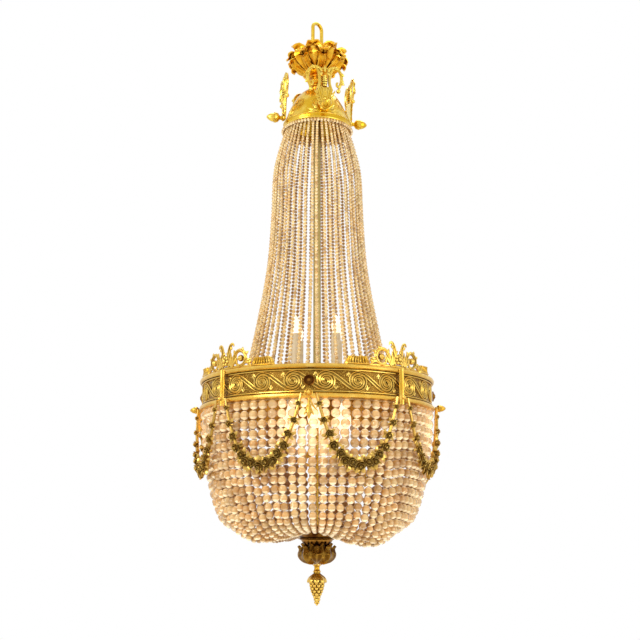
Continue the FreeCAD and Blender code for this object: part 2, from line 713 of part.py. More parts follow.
def swag(first):
    """A garland of roses and leaves, thin at its ends and full at its middle."""
    span = 360.0 / SWAG_COUNT
    rings = []
    for k in range(SWAG_STEPS + 1):
        x = 2.0 * k / SWAG_STEPS - 1.0
        angle = first + SWAG_SIDE_GAP + (span - 2 * SWAG_SIDE_GAP) * k / SWAG_STEPS
        fall = 1 - abs(x) ** SWAG_CURVE
        full = 1 - abs(x) ** 3
        thick = SWAG_ROPE + (SWAG_FULL - SWAG_ROPE) * full
        radius = RING_RADIUS + SEAT_GAP + SWAG_ROPE / 2 - SWAG_LEAN * fall ** 3
        z = RING_TOP - SCREW_DROP - SWAG_SAG * fall
        slope = -SWAG_SAG * SWAG_CURVE * abs(x) ** (SWAG_CURVE - 1) * (1 if x > 0 else -1) * 2.0
        run = math.radians(span - 2 * SWAG_SIDE_GAP) * radius
        lean = math.atan2(-slope, run)
        centre = at(radius, angle, z)
        side = at(1, angle + 90, 0)
        out = at(1, angle, 0)
        ring = []
        for n in range(5):
            around = math.radians(72.0 * n)
            across = thick / 2 * math.cos(around)
            depth = thick / 2 * math.sin(around)
            ring.append(centre + out * depth - side * (across * math.sin(lean))
                        + V(0, 0, across * math.cos(lean)))
        rings.append(ring)
    return skin(rings)


# ---- spider and lamps ----
def spider():
    """The hub disc and four arms that carry the ring on the stem."""
    reach = RING_INSIDE - 2.0
    hub = HUB_DISC_DIAMETER / 2
    half = ARM_WIDTH / 2
    points = []
    for k in range(4):
        angle = 45.0 + 90.0 * k
        lean = math.degrees(math.asin(half / hub))
        for turn, radius in ((angle - lean, hub), (angle - math.degrees(math.asin(half / reach)), reach),
                             (angle + math.degrees(math.asin(half / reach)), reach), (angle + lean, hub)):
            points.append(at(radius, turn, ARM_BASE))
        points += [at(hub, angle + turn, ARM_BASE) for turn in (30, 45, 60)]
    body = flat(points).extrude(V(0, 0, ARM_THICKNESS))
    hole = flat(ring_of(clear_bore(TUBE_DIAMETER, 12), ARM_BASE, 12)).extrude(V(0, 0, ARM_THICKNESS))
    return body.cut(hole)


def arm_screw():
    """A hexagon head that holds an arm's end down on the ring's shelf."""
    head = flat(ring_of(ARM_SCREW_DIAMETER / 2, ARM_TOP, 6)).extrude(V(0, 0, ARM_SCREW_HEAD))
    return moved(head, y=-(RING_INSIDE - RING_FLANGE / 2))


def lamp_plate():
    r = PLATE_DIAMETER / 2
    bore = clear_bore(TUBE_DIAMETER, 16)
    return lathe([(bore, ARM_TOP), (r, ARM_TOP), (r, PLATE_TOP), (bore, PLATE_TOP)], 16, closed=True)


def candle_cup():
    r = CUP_DIAMETER / 2
    z = PLATE_TOP
    floor = SLEEVE_DIAMETER / 2 + 1.0
    cup = lathe([(0, z), (r * 0.5, z), (r * 0.35, z + 3), (r * 0.8, z + CUP_HEIGHT * 0.6),
                 (r, z + CUP_HEIGHT), (floor, z + CUP_FLOOR), (0, z + CUP_FLOOR)], 8)
    return moved(cup, y=-CANDLE_RADIUS)


def candle_sleeve():
    r, z = SLEEVE_DIAMETER / 2, PLATE_TOP + CUP_FLOOR
    sleeve = lathe([(0, z), (r, z), (r, z + SLEEVE_LENGTH), (0, z + SLEEVE_LENGTH)], 10)
    return moved(sleeve, y=-CANDLE_RADIUS)


def flame_bulb():
    r, z = FLAME_DIAMETER / 2, PLATE_TOP + CUP_FLOOR + SLEEVE_LENGTH
    outline = [(0, 0), (0.66 * r, 0), (0.66 * r, 0.1), (r, 0.36), (0.78 * r, 0.64),
               (0.28 * r, 0.92), (0, 1.0)]
    return moved(lathe([(w, z + h * FLAME_LENGTH) for w, h in outline], 6), y=-CANDLE_RADIUS)


def lower_socket():
    r, z = SOCKET_DIAMETER / 2, ARM_TOP
    return moved(lathe([(0, z), (r, z), (r, z - 6), (r * 0.7, z - 10), (r * 0.7, z - SOCKET_LENGTH),
                        (0, z - SOCKET_LENGTH)], 6), y=-LOWER_RADIUS)


def lower_bulb():
    r, z = GLOBE_DIAMETER / 2, ARM_TOP - SOCKET_LENGTH
    outline = [(0, 0), (0.4 * r, 0), (0.42 * r, 0.14), (0.9 * r, 0.42), (r, 0.66), (0.68 * r, 0.9), (0, 1.0)]
    return moved(lathe([(w, z - h * GLOBE_LENGTH) for w, h in outline], 6), y=-LOWER_RADIUS)


# ---- rod, hub, cup and finial ----
def centre_rod():
    """The thin rod from the tube's end down to the hub."""
    cap, thin = TUBE_DIAMETER / 2, ROD_DIAMETER / 2
    top = TUBE_END
    return lathe([(0, top), (cap, top), (cap, top - ROD_CAP_HEIGHT), (thin, top - ROD_CAP_HEIGHT - 2.0),
                  (thin, HUB_SEAT_Z + HUB_FLANGE_THICKNESS), (0, HUB_SEAT_Z + HUB_FLANGE_THICKNESS)], 10)


def hub_funnel():
    """The flange that the lower strands hook into, over a dark funnel."""
    flange, neck = HUB_FLANGE_DIAMETER / 2, HUB_SEAT_RADIUS - BASKET_BEAD_END / 2 - SEAT_GAP
    seat, foot, base = HUB_SEAT_Z, FUNNEL_FOOT / 2, FUNNEL_BASE
    return lathe([(0, seat + HUB_FLANGE_THICKNESS), (flange, seat + HUB_FLANGE_THICKNESS), (flange, seat),
                  (neck, seat), (neck - 3, seat - 8), (foot, base + 4), (foot + 2, base + 2), (foot, base),
                  (0, base)], 16)


def hub_leaf_cup():
    """A cup of leaves under the funnel."""
    r, top, high = LEAF_CUP_DIAMETER / 2, FUNNEL_BASE, LEAF_CUP_HEIGHT
    outline = [(0, 0.0, 0), (FUNNEL_FOOT / 2 - 1, 0.0, 0), (r, 0.34, 0.04), (r * 0.97, 0.6, 0.05),
               (r * 0.66, 0.88, 0.05), (r * 0.3, 1.0, 0), (0, 1.0, 0)]
    return skin([ring_of(w, top - share * high, 16, 8, swell) for w, share, swell in outline])


def finial():
    """A turned neck and a cone of grapes under a collar of leaves."""
    r, top = FINIAL_DIAMETER / 2, LEAF_CUP_BASE
    outline = [(0, 0), (0.4 * r, 0), (0.26 * r, 0.06), (0.3 * r, 0.22), (0.9 * r, 0.32), (r, 0.39),
               (0.62 * r, 0.45), (0.6 * r, 0.56), (0.36 * r, 0.8), (0, 1.0)]
    return skin([ring_of(w, top - share * FINIAL_LENGTH, 16, 8, 0.07) for w, share in outline])


# ---- make and save every piece ----
os.makedirs("parts", exist_ok=True)

save("hanging_link", hanging_link())
save("stem_eye", stem_eye())
save("stem_tube", stem_tube())
save("stem_nuts", stem_nut(CANOPY_BASE + CANOPY_WALL),
     stem_nut(CROWN_TOP - CROWN_TOP_PLATE - NUT_HEIGHT), stem_nut(ARM_BASE - NUT_HEIGHT))
save("leaf_canopy", leaf_canopy())
save("canopy_collar", canopy_collar())
save("neck_baluster", neck_baluster())

save("crown_dome", turned(crown_dome(), CROWN_TURN))
save("crown_carrier", turned(crown_carrier(), CROWN_TURN))
save("crown_rope", turned(crown_rope(), CROWN_TURN))
crest_base = CROWN_RIM + CREST_FOOT
crest_out = dome_radius(CROWN_TOP - crest_base) + SEAT_GAP
crest = moved(crown_crest(), y=-crest_out, z=crest_base)
for number, piece in enumerate(all_round(crest, CREST_COUNT, CROWN_TURN)):
    save("crown_crest_%d" % (number + 1), piece)
knob = acorn(ACORN_LENGTH, ACORN_DIAMETER, CROWN_ACORN_NECK)
knob = outward(knob, crest_out + CREST_THICKNESS, crest_base + CROWN_ACORN_RISE)
save("crown_acorns", *all_round(knob, CREST_COUNT, CROWN_TURN))

quarter = TENT_STRAND_COUNT // 4
for number in range(4):
    pieces = [tent_strand(k) for k in range(number * quarter, (number + 1) * quarter)]
    save("tent_strands_%d" % (number + 1), *pieces)
save("tent_carrier", tent_carrier())

save("ring_band", ring_band())
for number in range(4):
    first = WAVE_COUNT // 4 * number
    angles = [360.0 * (k + 0.5) / WAVE_COUNT - 45.0 for k in range(first, first + WAVE_COUNT // 4)]
    save("scroll_frieze_%d" % (number + 1), *[wave(angle) for angle in angles])
save("corner_straps", *all_round(corner_strap(), 4, 45.0))
for number, piece in enumerate(all_round(ring_crest(), 4, 45.0)):
    save("ring_crest_%d" % (number + 1), piece)
save("fluted_shells", *all_round(fluted_shell(), 8, 22.5))
save("ring_acorns", *all_round(ring_acorn(), 4))
save("frieze_bosses", *all_round(frieze_boss(), 4))
save("swag_screws", *all_round(swag_screw(RING_RADIUS + SEAT_GAP + STRAP_DEPTH + SEAT_GAP), 4, 45.0))
save("ribbon_drops", *all_round(ribbon_drop(), 4))
for number in range(SWAG_COUNT):
    save("swag_%d" % (number + 1), swag(360.0 * number / SWAG_COUNT))

save("spider", spider())
save("arm_screws", *all_round(arm_screw(), 4, 45.0))
save("lamp_plate", lamp_plate())
save("candle_cups", *all_round(candle_cup(), LAMP_COUNT, 45.0))
save("candle_sleeves", *all_round(candle_sleeve(), LAMP_COUNT, 45.0))
save("flame_bulbs", *all_round(flame_bulb(), LAMP_COUNT, 45.0))
save("lower_sockets", *all_round(lower_socket(), LAMP_COUNT))
save("lower_bulbs", *all_round(lower_bulb(), LAMP_COUNT))

quarter = BASKET_STRAND_COUNT // 4
for number in range(4):
    pieces = [basket_strand(k) for k in range(number * quarter, (number + 1) * quarter)]
    save("basket_strands_%d" % (number + 1), *pieces)
save("centre_rod", centre_rod())
save("hub_funnel", hub_funnel())
save("hub_leaf_cup", hub_leaf_cup())
save("finial", finial())
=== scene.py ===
# %% [markdown]
# # A basket chandelier of gilt brass and glass beads
# The real lamp hangs from an oval link. Below it come a canopy of leaves, a crown, a tent of
# bead strings, a scrolled ring with garlands, a basket of bead strings and a hub with a finial.
# The construction is already there as plain solids. This lesson gives each of them its carved
# and beaded form, in the same frame, and puts it before a camera.

import math
import random

import bmesh
import bpy
from mathutils import Matrix, Vector


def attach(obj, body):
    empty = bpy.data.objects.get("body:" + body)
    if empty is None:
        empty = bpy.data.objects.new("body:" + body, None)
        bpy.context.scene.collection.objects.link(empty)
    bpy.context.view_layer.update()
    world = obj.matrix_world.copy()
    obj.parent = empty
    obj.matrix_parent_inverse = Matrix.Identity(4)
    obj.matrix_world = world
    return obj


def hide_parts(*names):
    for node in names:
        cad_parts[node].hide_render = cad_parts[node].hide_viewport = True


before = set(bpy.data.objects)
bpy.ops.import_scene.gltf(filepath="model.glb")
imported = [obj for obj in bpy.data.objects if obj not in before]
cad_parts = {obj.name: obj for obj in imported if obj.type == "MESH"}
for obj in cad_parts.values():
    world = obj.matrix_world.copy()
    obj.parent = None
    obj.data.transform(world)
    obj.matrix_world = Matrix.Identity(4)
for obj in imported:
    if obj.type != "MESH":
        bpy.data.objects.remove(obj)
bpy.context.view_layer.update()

# %% [markdown]
# ## Points, loops and skins
# Most pieces are turned, bent or cast, so a few helpers are enough: a point at a radius and an
# angle, a skin over loops of points, and a round bar along a line. Sizes are written in
# millimetres and become metres when the mesh is made. Each shape is a list of points and a
# list of faces until then, which makes it cheap to turn, copy and join.

# %% Points and skins
MM = 0.001


def at(radius, angle, z):
    """A point round the stem; angle 0 faces the front, and 90 the right."""
    turn = math.radians(angle)
    return Vector((radius * math.sin(turn), -radius * math.cos(turn), z))


def loft(rings, closed=False):
    """Points and faces over loops of points, capped at both ends unless it closes on itself."""
    count, size = len(rings), len(rings[0])
    points = [Vector(p) for ring in rings for p in ring]
    faces = []
    for a in range(count if closed else count - 1):
        b = (a + 1) % count
        for k in range(size):
            m = (k + 1) % size
            faces.append((a * size + k, a * size + m, b * size + m, b * size + k))
    if not closed:
        for row in (0, count - 1):
            points.append(sum((Vector(p) for p in rings[row]), Vector()) / size)
            for k in range(size):
                faces.append((row * size + k, row * size + (k + 1) % size, len(points) - 1))
    return points, faces


def lathe(outline, sides=48, closed=False):
    """An outline of (radius, height) points turned round the stem."""
    rings = [[at(r, 360.0 * k / sides, z) for k in range(sides)] for r, z in outline]
    return loft(rings, closed)


def joined(shapes):
    points, faces = [], []
    for more_points, more_faces in shapes:
        start = len(points)
        points += more_points
        faces += [tuple(k + start for k in face) for face in more_faces]
    return points, faces


def placed(shape, matrix):
    return [matrix @ p for p in shape[0]], shape[1]


def turned(shape, angle):
    return placed(shape, Matrix.Rotation(math.radians(angle), 4, "Z"))


def shifted(shape, x=0.0, y=0.0, z=0.0):
    return placed(shape, Matrix.Translation((x, y, z)))


def standing(shape, radius, angle, z):
    """A shape drawn on the front plane, stood at a radius, an angle and a height."""
    return turned(shifted(shape, y=-radius, z=z), angle)


def all_round(shape, count, first=0.0):
    return joined([turned(shape, first + 360.0 * k / count) for k in range(count)])


def outward(shape, out, z):
    """Lays a shape made along its own upright axis over, so that it points to the front."""
    laid = placed(shape, Matrix.Rotation(math.radians(90), 4, "X"))
    return shifted(laid, y=-out, z=z)


def bar(line, sizes, sides=8, flat=1.0, face=None, closed=False):
    """A round bar along a line; flat squashes it along the direction that it faces."""
    rings = []
    normal = Vector(face) if face else None
    for k, p in enumerate(line):
        after = line[(k + 1) % len(line)] if closed else line[min(k + 1, len(line) - 1)]
        before = line[k - 1] if closed else line[max(k - 1, 0)]
        along = (Vector(after) - Vector(before)).normalized()
        if normal is None:
            normal = along.orthogonal()
        normal = (normal - along * normal.dot(along)).normalized()
        side = along.cross(normal)
        size = sizes[k] if isinstance(sizes, (list, tuple)) else sizes
        ring = []
        for n in range(sides):
            turn = 2 * math.pi * n / sides
            high, wide = math.cos(turn) * size * flat, math.sin(turn) * size
            ring.append(Vector(p) + normal * high + side * wide)
        rings.append(ring)
    return loft(rings, closed)


def smooth_line(points, steps):
    """A smooth curve through points, in steps to each stretch."""
    points = [Vector(p) for p in points]
    out = []
    for k in range(len(points) - 1):
        a, b = points[max(k - 1, 0)], points[k]
        c, d = points[k + 1], points[min(k + 2, len(points) - 1)]
        for n in range(steps):
            t = n / steps
            out.append(0.5 * (2 * b + (c - a) * t + (2 * a - 5 * b + 4 * c - d) * t**2
                              + (3 * b - a - 3 * c + d) * t**3))
    return out + [points[-1]]


def smooth_values(values, steps):
    return [p.x for p in smooth_line([(v, 0, 0) for v in values], steps)]


print("helpers ready, one unit is", MM, "m")

# %% [markdown]
# ## Helpers for nodes
# Materials and forms that repeat are both node trees. One helper adds a node and fills its
# inputs: an input that is given a socket is wired to it, and any other is set to the value.
# That keeps each tree as short as the sentence that describes it.

# %% Node helpers
FLOAT, COLOR, INT = "NodeSocketFloat", "NodeSocketColor", "NodeSocketInt"
GEOMETRY, MATERIAL, OBJECT = "NodeSocketGeometry", "NodeSocketMaterial", "NodeSocketObject"


def feed(tree, made, inputs):
    for label, value in inputs.items():
        if isinstance(value, bpy.types.NodeSocket):
            tree.links.new(value, made.inputs[label])
        else:
            made.inputs[label].default_value = value


def node(tree, kind, inputs=None, **settings):
    made = tree.nodes.new(kind)
    for name, value in settings.items():
        setattr(made, name, value)
    feed(tree, made, inputs or {})
    return made


def add_sockets(tree, way, rows):
    """Rows are (name, kind) or (name, kind, value); the result is each name's identifier."""
    keys = {}
    for label, kind, *value in rows:
        made = tree.interface.new_socket(name=label, in_out=way, socket_type=kind)
        if value:
            made.default_value = value[0]
        keys[label] = made.identifier
    return keys


def group_tree(name, kind, inputs, outputs):
    """A node group: the tree, its inputs' identifiers, the inputs as sockets, and its end."""
    tree = bpy.data.node_groups.new(name, kind)
    add_sockets(tree, "OUTPUT", outputs)
    keys = add_sockets(tree, "INPUT", inputs)
    return tree, keys, node(tree, "NodeGroupInput").outputs, node(tree, "NodeGroupOutput")


def maths(tree, operation, first, second=0.0):
    return node(tree, "ShaderNodeMath", {0: first, 1: second}, operation=operation).outputs[0]


def times(tree, first, second):
    return maths(tree, "MULTIPLY", first, second)


def vectors(tree, operation, *values):
    return node(tree, "ShaderNodeVectorMath", dict(enumerate(values)), operation=operation).outputs


def noise(tree, place, scale, detail=3.0):
    values = {"Vector": place, "Scale": scale, "Detail": detail}
    return node(tree, "ShaderNodeTexNoise", values).outputs["Fac"]


def spread(tree, value, low, high, to_low=0.0, to_high=1.0):
    """A value that runs from low to high, made to run from to_low to to_high and stop there."""
    ends = {"Value": value, "From Min": low, "From Max": high, "To Min": to_low, "To Max": to_high}
    return node(tree, "ShaderNodeMapRange", ends).outputs["Result"]


def mixed(tree, factor, first, second):
    """A mix of two colours, each a socket or three numbers."""
    first, second = [(*c, 1) if isinstance(c, tuple) else c for c in (first, second)]
    return node(tree, "ShaderNodeMix", {0: factor, 6: first, 7: second}, data_type="RGBA").outputs[2]


def object_place(tree):
    return node(tree, "ShaderNodeTexCoord").outputs["Object"]


print("node helpers ready")

# %% [markdown]
# ## The gilding group
# All the metal of this lamp is cast brass that was gilded and has aged. One shader group mixes
# three colours: the clean metal, a dark tone in the hollows, and a lighter one where edges were
# rubbed. The dark tone is partly the patina that aged brass has in its hollows and partly
# painted shade. The hollows are found from the shape itself, so the same group suits a leaf,
# a moulding or a scroll. The group only puts out a colour, a roughness and a height: the
# shader stays in the material, and each brass fills the group's sockets with its own colours.

# %% The Gilding group
def gilding_group():
    tree, keys, source, sink = group_tree(
        "Gilding", "ShaderNodeTree",
        [("Metal", COLOR, (0.8, 0.6, 0.2, 1)), ("Hollow", COLOR, (0.2, 0.1, 0.02, 1)),
         ("Worn", COLOR, (1, 0.85, 0.5, 1)), ("Patina", FLOAT, 0.5), ("Shine", FLOAT, 0.3)],
        [("Color", COLOR), ("Roughness", FLOAT), ("Height", FLOAT)])
    place = object_place(tree)
    broad, fine = noise(tree, place, 45.0), noise(tree, place, 380.0, 4.0)
    # Painted shade: ambient occlusion finds the creases and recesses, which are darkened partly as the patina
    # of aged brass and partly as painted shade.
    hollow_patina_shade = node(tree, "ShaderNodeAmbientOcclusion", {"Distance": 0.007}, samples=6, only_local=True)
    depth = spread(tree, hollow_patina_shade.outputs["AO"], 0.35, 0.92, 1.0, 0.0)
    patina_shade_mask = times(tree, times(tree, depth, source["Patina"]), spread(tree, broad, 0.25, 0.6, 0.75, 1.3))
    patina_shade_mask = maths(tree, "MINIMUM", patina_shade_mask, 1.0)
    tone = mixed(tree, spread(tree, broad, 0.48, 0.72, 0.0, 0.55), source["Metal"], source["Worn"])
    edge = spread(tree, node(tree, "ShaderNodeNewGeometry").outputs["Pointiness"], 0.52, 0.60)
    tone = mixed(tree, times(tree, edge, 0.6), tone, source["Worn"])
    rough = maths(tree, "ADD", source["Shine"], times(tree, patina_shade_mask, 0.35))
    feed(tree, sink, {"Color": mixed(tree, patina_shade_mask, tone, source["Hollow"]),
                      "Roughness": maths(tree, "ADD", rough, spread(tree, fine, 0.3, 0.7, -0.05, 0.08)),
                      "Height": maths(tree, "ADD", times(tree, fine, 0.5), broad)})
    return tree


GILDING = gilding_group()


def material_of(name):
    made = bpy.data.materials.new(name)
    made.use_nodes = True
    return made, made.node_tree, made.node_tree.nodes["Principled BSDF"]


def bump(tree, height, strength, distance):
    values = {"Height": height, "Strength": strength, "Distance": distance}
    return node(tree, "ShaderNodeBump", values).outputs["Normal"]


def brass(name, metal, hollow_patina_shade, worn, patina_and_shade, shine):
    made, tree, shader = material_of(name)
    values = {"Metal": (*metal, 1), "Hollow": (*hollow_patina_shade, 1), "Worn": (*worn, 1), "Patina": patina_and_shade,
              "Shine": shine}
    gilt = node(tree, "ShaderNodeGroup", values, node_tree=GILDING).outputs
    feed(tree, shader, {"Base Color": gilt["Color"], "Roughness": gilt["Roughness"], "Metallic": 1.0,
                        "Normal": bump(tree, gilt["Height"], 0.25, 0.0008)})
    return made


def punched(name, base, dots):
    """A ground struck all over with small round dots, which catch the light."""
    made, tree, shader = material_of(name)
    place = object_place(tree)
    cells = node(tree, "ShaderNodeTexVoronoi", {"Vector": place, "Scale": 420.0})
    dot = spread(tree, cells.outputs["Distance"], 0.25, 0.5, 1.0, 0.0)
    cloud = spread(tree, noise(tree, place, 60.0), 0.35, 0.65)
    tone = mixed(tree, cloud, base, tuple(c * 1.5 for c in base))
    feed(tree, shader, {"Base Color": mixed(tree, dot, tone, dots), "Metallic": 0.9, "Roughness": 0.42,
                        "Normal": bump(tree, dot, 0.8, 0.0012)})
    return made


# Each brass: clean metal, the dark colour of its hollows (patina and painted shade), the rubbed colour, how
# much the hollows darken, and its shine.
BRIGHT = brass("bright gilding", (0.72, 0.43, 0.022), (0.30, 0.10, 0.001), (1.0, 0.82, 0.20), 0.9, 0.22)
WARM = brass("warm gilding", (0.78, 0.37, 0.014), (0.20, 0.05, 0.001), (1.0, 0.70, 0.10), 1.0, 0.24)
ANTIQUE = brass("antique brass", (0.66, 0.36, 0.035), (0.12, 0.05, 0.003), (1.0, 0.74, 0.20), 1.0, 0.27)
GROUND = punched("punched ground", (0.17, 0.085, 0.010), (0.70, 0.44, 0.08))
BRONZE = brass("dark bronze", (0.36, 0.205, 0.030), (0.17, 0.090, 0.009), (0.86, 0.58, 0.16), 0.7, 0.27)
OLIVE = brass("olive tube", (0.33, 0.24, 0.07), (0.10, 0.07, 0.02), (0.55, 0.42, 0.16), 0.6, 0.34)
BROWN = brass("brown patina", (0.085, 0.022, 0.003), (0.012, 0.004, 0.001), (0.60, 0.30, 0.05), 0.9, 0.28)
LEAFED = brass("leaf cup gilding", (0.13, 0.055, 0.006), (0.010, 0.004, 0.001), (0.70, 0.40, 0.06), 1.0, 0.25)
STEEL = brass("plain steel", (0.50, 0.48, 0.43), (0.10, 0.08, 0.06), (0.75, 0.73, 0.68), 0.6, 0.35)
print("metals made with the", GILDING.name, "group")

# %% [markdown]
# ## Glass, wax and light
# The beads are clear glass strung close together. Seen from a step away each is milky and
# peach coloured, with a bright crescent above and below, where the real glass bends the lamps
# and the brass behind it. Here the crescents are painted highlights that also glow, each bead's
# edge and its side towards the middle of the basket are painted shade, and the beads near the
# four lower lamps carry a painted glow. A glass that lets little light through, with a tint of
# its own, gives the milky peach colour without noise. The candle tubes are cream, and the
# lamps are lit.

# %% Glass, wax and lamp glass
GLOW_OUT, GLOW_Z = 0.225, -0.895


def painted_lamp_glow_group():
    """How strongly beads at a place are painted with the glow of the four lower lamps, from 0 to 1."""
    tree, keys, source, sink = group_tree("Painted lamp glow", "ShaderNodeTree",
                                          [("Near", FLOAT, 0.012), ("Far", FLOAT, 0.085)], [("Glow", FLOAT)])
    place, nearest = object_place(tree), None
    for x, y in ((0, -1), (1, 0), (0, 1), (-1, 0)):
        reach = vectors(tree, "DISTANCE", place, (GLOW_OUT * x, GLOW_OUT * y, GLOW_Z))["Value"]
        nearest = reach if nearest is None else maths(tree, "MINIMUM", nearest, reach)
    feed(tree, sink, {"Glow": spread(tree, nearest, source["Near"], source["Far"], 1.0, 0.0)})
    return tree


PAINTED_LAMP_GLOW = painted_lamp_glow_group()


def bead_glass(name, pale, deep, rim, through, inner_shade, sparkle):
    """Painted highlights: crescents above and below that glow; painted shade: a dark edge and a dark inner
    side; a painted lamp glow.
    """
    made, tree, shader = material_of(name)
    where = node(tree, "ShaderNodeTexCoord").outputs
    spark = node(tree, "ShaderNodeAttribute", attribute_name="spark").outputs["Fac"]
    facing = node(tree, "ShaderNodeLayerWeight").outputs["Facing"]
    tone = mixed(tree, spread(tree, noise(tree, where["Object"], 28.0), 0.35, 0.65), pale, deep)
    tone = mixed(tree, spread(tree, spark, 0.0, 0.35, 0.55, 0.0), tone, rim)
    # Painted shade: each bead darkens towards its edge, by Layer Weight facing.
    tone = mixed(tree, spread(tree, facing, 0.45, 1.0), tone, rim)
    # Painted highlights: a pale crescent at the bottom and the top of each bead, set by its own normal.
    up = node(tree, "ShaderNodeSeparateXYZ", {"Vector": where["Normal"]}).outputs["Z"]
    below, above = spread(tree, up, -0.40, -0.62, 0.0, 1.0), spread(tree, up, 0.62, 0.82, 0.0, 0.8)
    painted_highlight = times(tree, maths(tree, "MAXIMUM", below, above), spread(tree, spark, 0.1, 0.8, 0.3, 1.0))
    tone = mixed(tree, painted_highlight, tone, (1.0, 0.90, 0.66))
    # Painted shade: the side of each bead that faces the middle of the basket is darkened to dark amber.
    level = vectors(tree, "MULTIPLY", where["Object"], (1, 1, 0))["Vector"]
    away = vectors(tree, "NORMALIZE", level)["Vector"]
    outside = vectors(tree, "DOT_PRODUCT", away, where["Normal"])["Value"]
    tone = mixed(tree, spread(tree, outside, -0.1, -0.7, 0.0, inner_shade), tone, (0.34, 0.13, 0.015))
    # Painted light: beads near the four lower lamps glow, a painted pool of lamp light.
    glow = node(tree, "ShaderNodeGroup", node_tree=PAINTED_LAMP_GLOW).outputs["Glow"]
    lamp = times(tree, glow, spread(tree, facing, 0.2, 0.8, 0.7, 0.1))
    # The painted highlights also glow, as painted light.
    painted_crescent_glow = times(tree, times(tree, painted_highlight, spread(tree, outside, -0.2, 0.3)), sparkle)
    feed(tree, shader, {"Base Color": tone, "Roughness": 0.05, "Transmission Weight": through, "IOR": 1.5,
                        "Coat Weight": 0.5, "Coat Roughness": 0.03, "Emission Color": (1.0, 0.84, 0.54, 1),
                        "Emission Strength": maths(tree, "ADD", lamp, painted_crescent_glow)})
    return made


def plain(name, base, shade, rough):
    made, tree, shader = material_of(name)
    cloud = noise(tree, object_place(tree), 60.0)
    feed(tree, shader, {"Base Color": mixed(tree, spread(tree, cloud, 0.35, 0.7), base, shade),
                        "Roughness": spread(tree, cloud, 0.3, 0.7, rough, rough + 0.12)})
    return made


def lit(name, glow, strength):
    made, tree, shader = material_of(name)
    cloud = noise(tree, object_place(tree), 40.0)
    feed(tree, shader, {"Emission Color": mixed(tree, cloud, glow, (1.0, 0.93, 0.78)),
                        "Base Color": mixed(tree, cloud, (1, 0.9, 0.75), (1, 1, 1)),
                        "Emission Strength": strength})
    return made


BEADS = bead_glass("bead glass", (1.0, 0.73, 0.36), (0.95, 0.54, 0.19), (0.40, 0.16, 0.015), 0.12, 0.9, 0.5)
SMALL_BEADS = bead_glass("small bead glass", (1.0, 0.79, 0.37), (1.0, 0.65, 0.22), (0.45, 0.18, 0.02),
                         0.10, 0.6, 0.4)
WAX = plain("candle cream", (0.93, 0.84, 0.62), (0.97, 0.90, 0.74), 0.40)
HOLDER = plain("holder ceramic", (0.86, 0.82, 0.74), (0.74, 0.68, 0.58), 0.35)
LAMP = lit("lit lamp glass", (1.0, 0.60, 0.24), 1.2)
print("beads, wax and lamps made")

# %% [markdown]
# ## From a shape to a piece
# A piece gets a name, a mesh whose doubled points are merged and whose faces look outwards,
# and smooth shading that stops at real edges. It then rides on its body and stands in for the
# plain solids that it dresses, which are hidden.

# %% Make and dress a piece
MERGE = 0.00001


def in_scene(name, data):
    made = bpy.data.objects.new(name, data)
    bpy.context.scene.collection.objects.link(made)
    return made


def smoothed(mesh, edge):
    mesh.shade_smooth()
    mesh.set_sharp_from_angle(angle=math.radians(edge))


def piece(name, shape, material, edge=38.0):
    mesh = bpy.data.meshes.new(name)
    mesh.from_pydata([tuple(p * MM) for p in shape[0]], [], shape[1])
    work = bmesh.new()
    work.from_mesh(mesh)
    bmesh.ops.remove_doubles(work, verts=work.verts, dist=MERGE)
    bmesh.ops.dissolve_degenerate(work, edges=work.edges, dist=MERGE)
    bmesh.ops.recalc_face_normals(work, faces=work.faces)
    work.to_mesh(mesh)
    work.free()
    smoothed(mesh, edge)
    mesh.materials.append(material)
    return in_scene(name, mesh)


def melted(name, pieces, material):
    """One mesh of one material from several made pieces."""
    work = bmesh.new()
    for one in pieces:
        work.from_mesh(one.data)
    for face in work.faces:
        face.material_index = 0
    mesh = bpy.data.meshes.new(name)
    work.to_mesh(mesh)
    work.free()
    mesh.materials.append(material)
    made = in_scene(name, mesh)
    for one in pieces:
        bpy.data.objects.remove(one)
    return made


def dress(made, slot, *nodes, body="chandelier"):
    if nodes:
        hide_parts(*nodes)
    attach(made, body)
    print(made.name, len(made.data.polygons), "faces")


def cast(name, shape, material, slot, *nodes, edge=38.0, body="chandelier"):
    dress(piece(name, shape, material, edge), slot, *nodes, body=body)


def turning(name, outline, sides, material, slot, *nodes, closed=False):
    """A lathe piece with crisp steps; closed joins the outline's end to its start."""
    cast(name, lathe(outline, sides, closed), material, slot, *nodes, edge=30.0)


print("pieces can be made and dressed")

# %% [markdown]
# ## Geometry Nodes: one tree for each thing that repeats
# Beads, scrolls, garlands and rings of leaves are one form set out many times by a rule.
# Each rule is a small node tree with named inputs. A helper hangs the tree on an object,
# sets the inputs by their identifiers, and keeps the result as a plain mesh.

# %% Tree helpers
def geometry_tree(name, inputs):
    geometry = [("Geometry", GEOMETRY)]
    return group_tree(name, "GeometryNodeTree", geometry + inputs, geometry)


def on_points(tree, points, form, **how):
    """A copy of the form on every point; how holds the copies' Rotation and Scale."""
    values = {"Points": points, "Instance": form, **how}
    return node(tree, "GeometryNodeInstanceOnPoints", values).outputs["Instances"]


def named(tree, name, kind="FLOAT"):
    values = {"Name": name}
    return node(tree, "GeometryNodeInputNamedAttribute", values, data_type=kind).outputs["Attribute"]


def finish_tree(tree, geometry, source, sink):
    real = node(tree, "GeometryNodeRealizeInstances", {"Geometry": geometry}).outputs["Geometry"]
    paint = node(tree, "GeometryNodeSetMaterial", {"Geometry": real, "Material": source["Material"]})
    feed(tree, sink, {"Geometry": paint.outputs["Geometry"]})


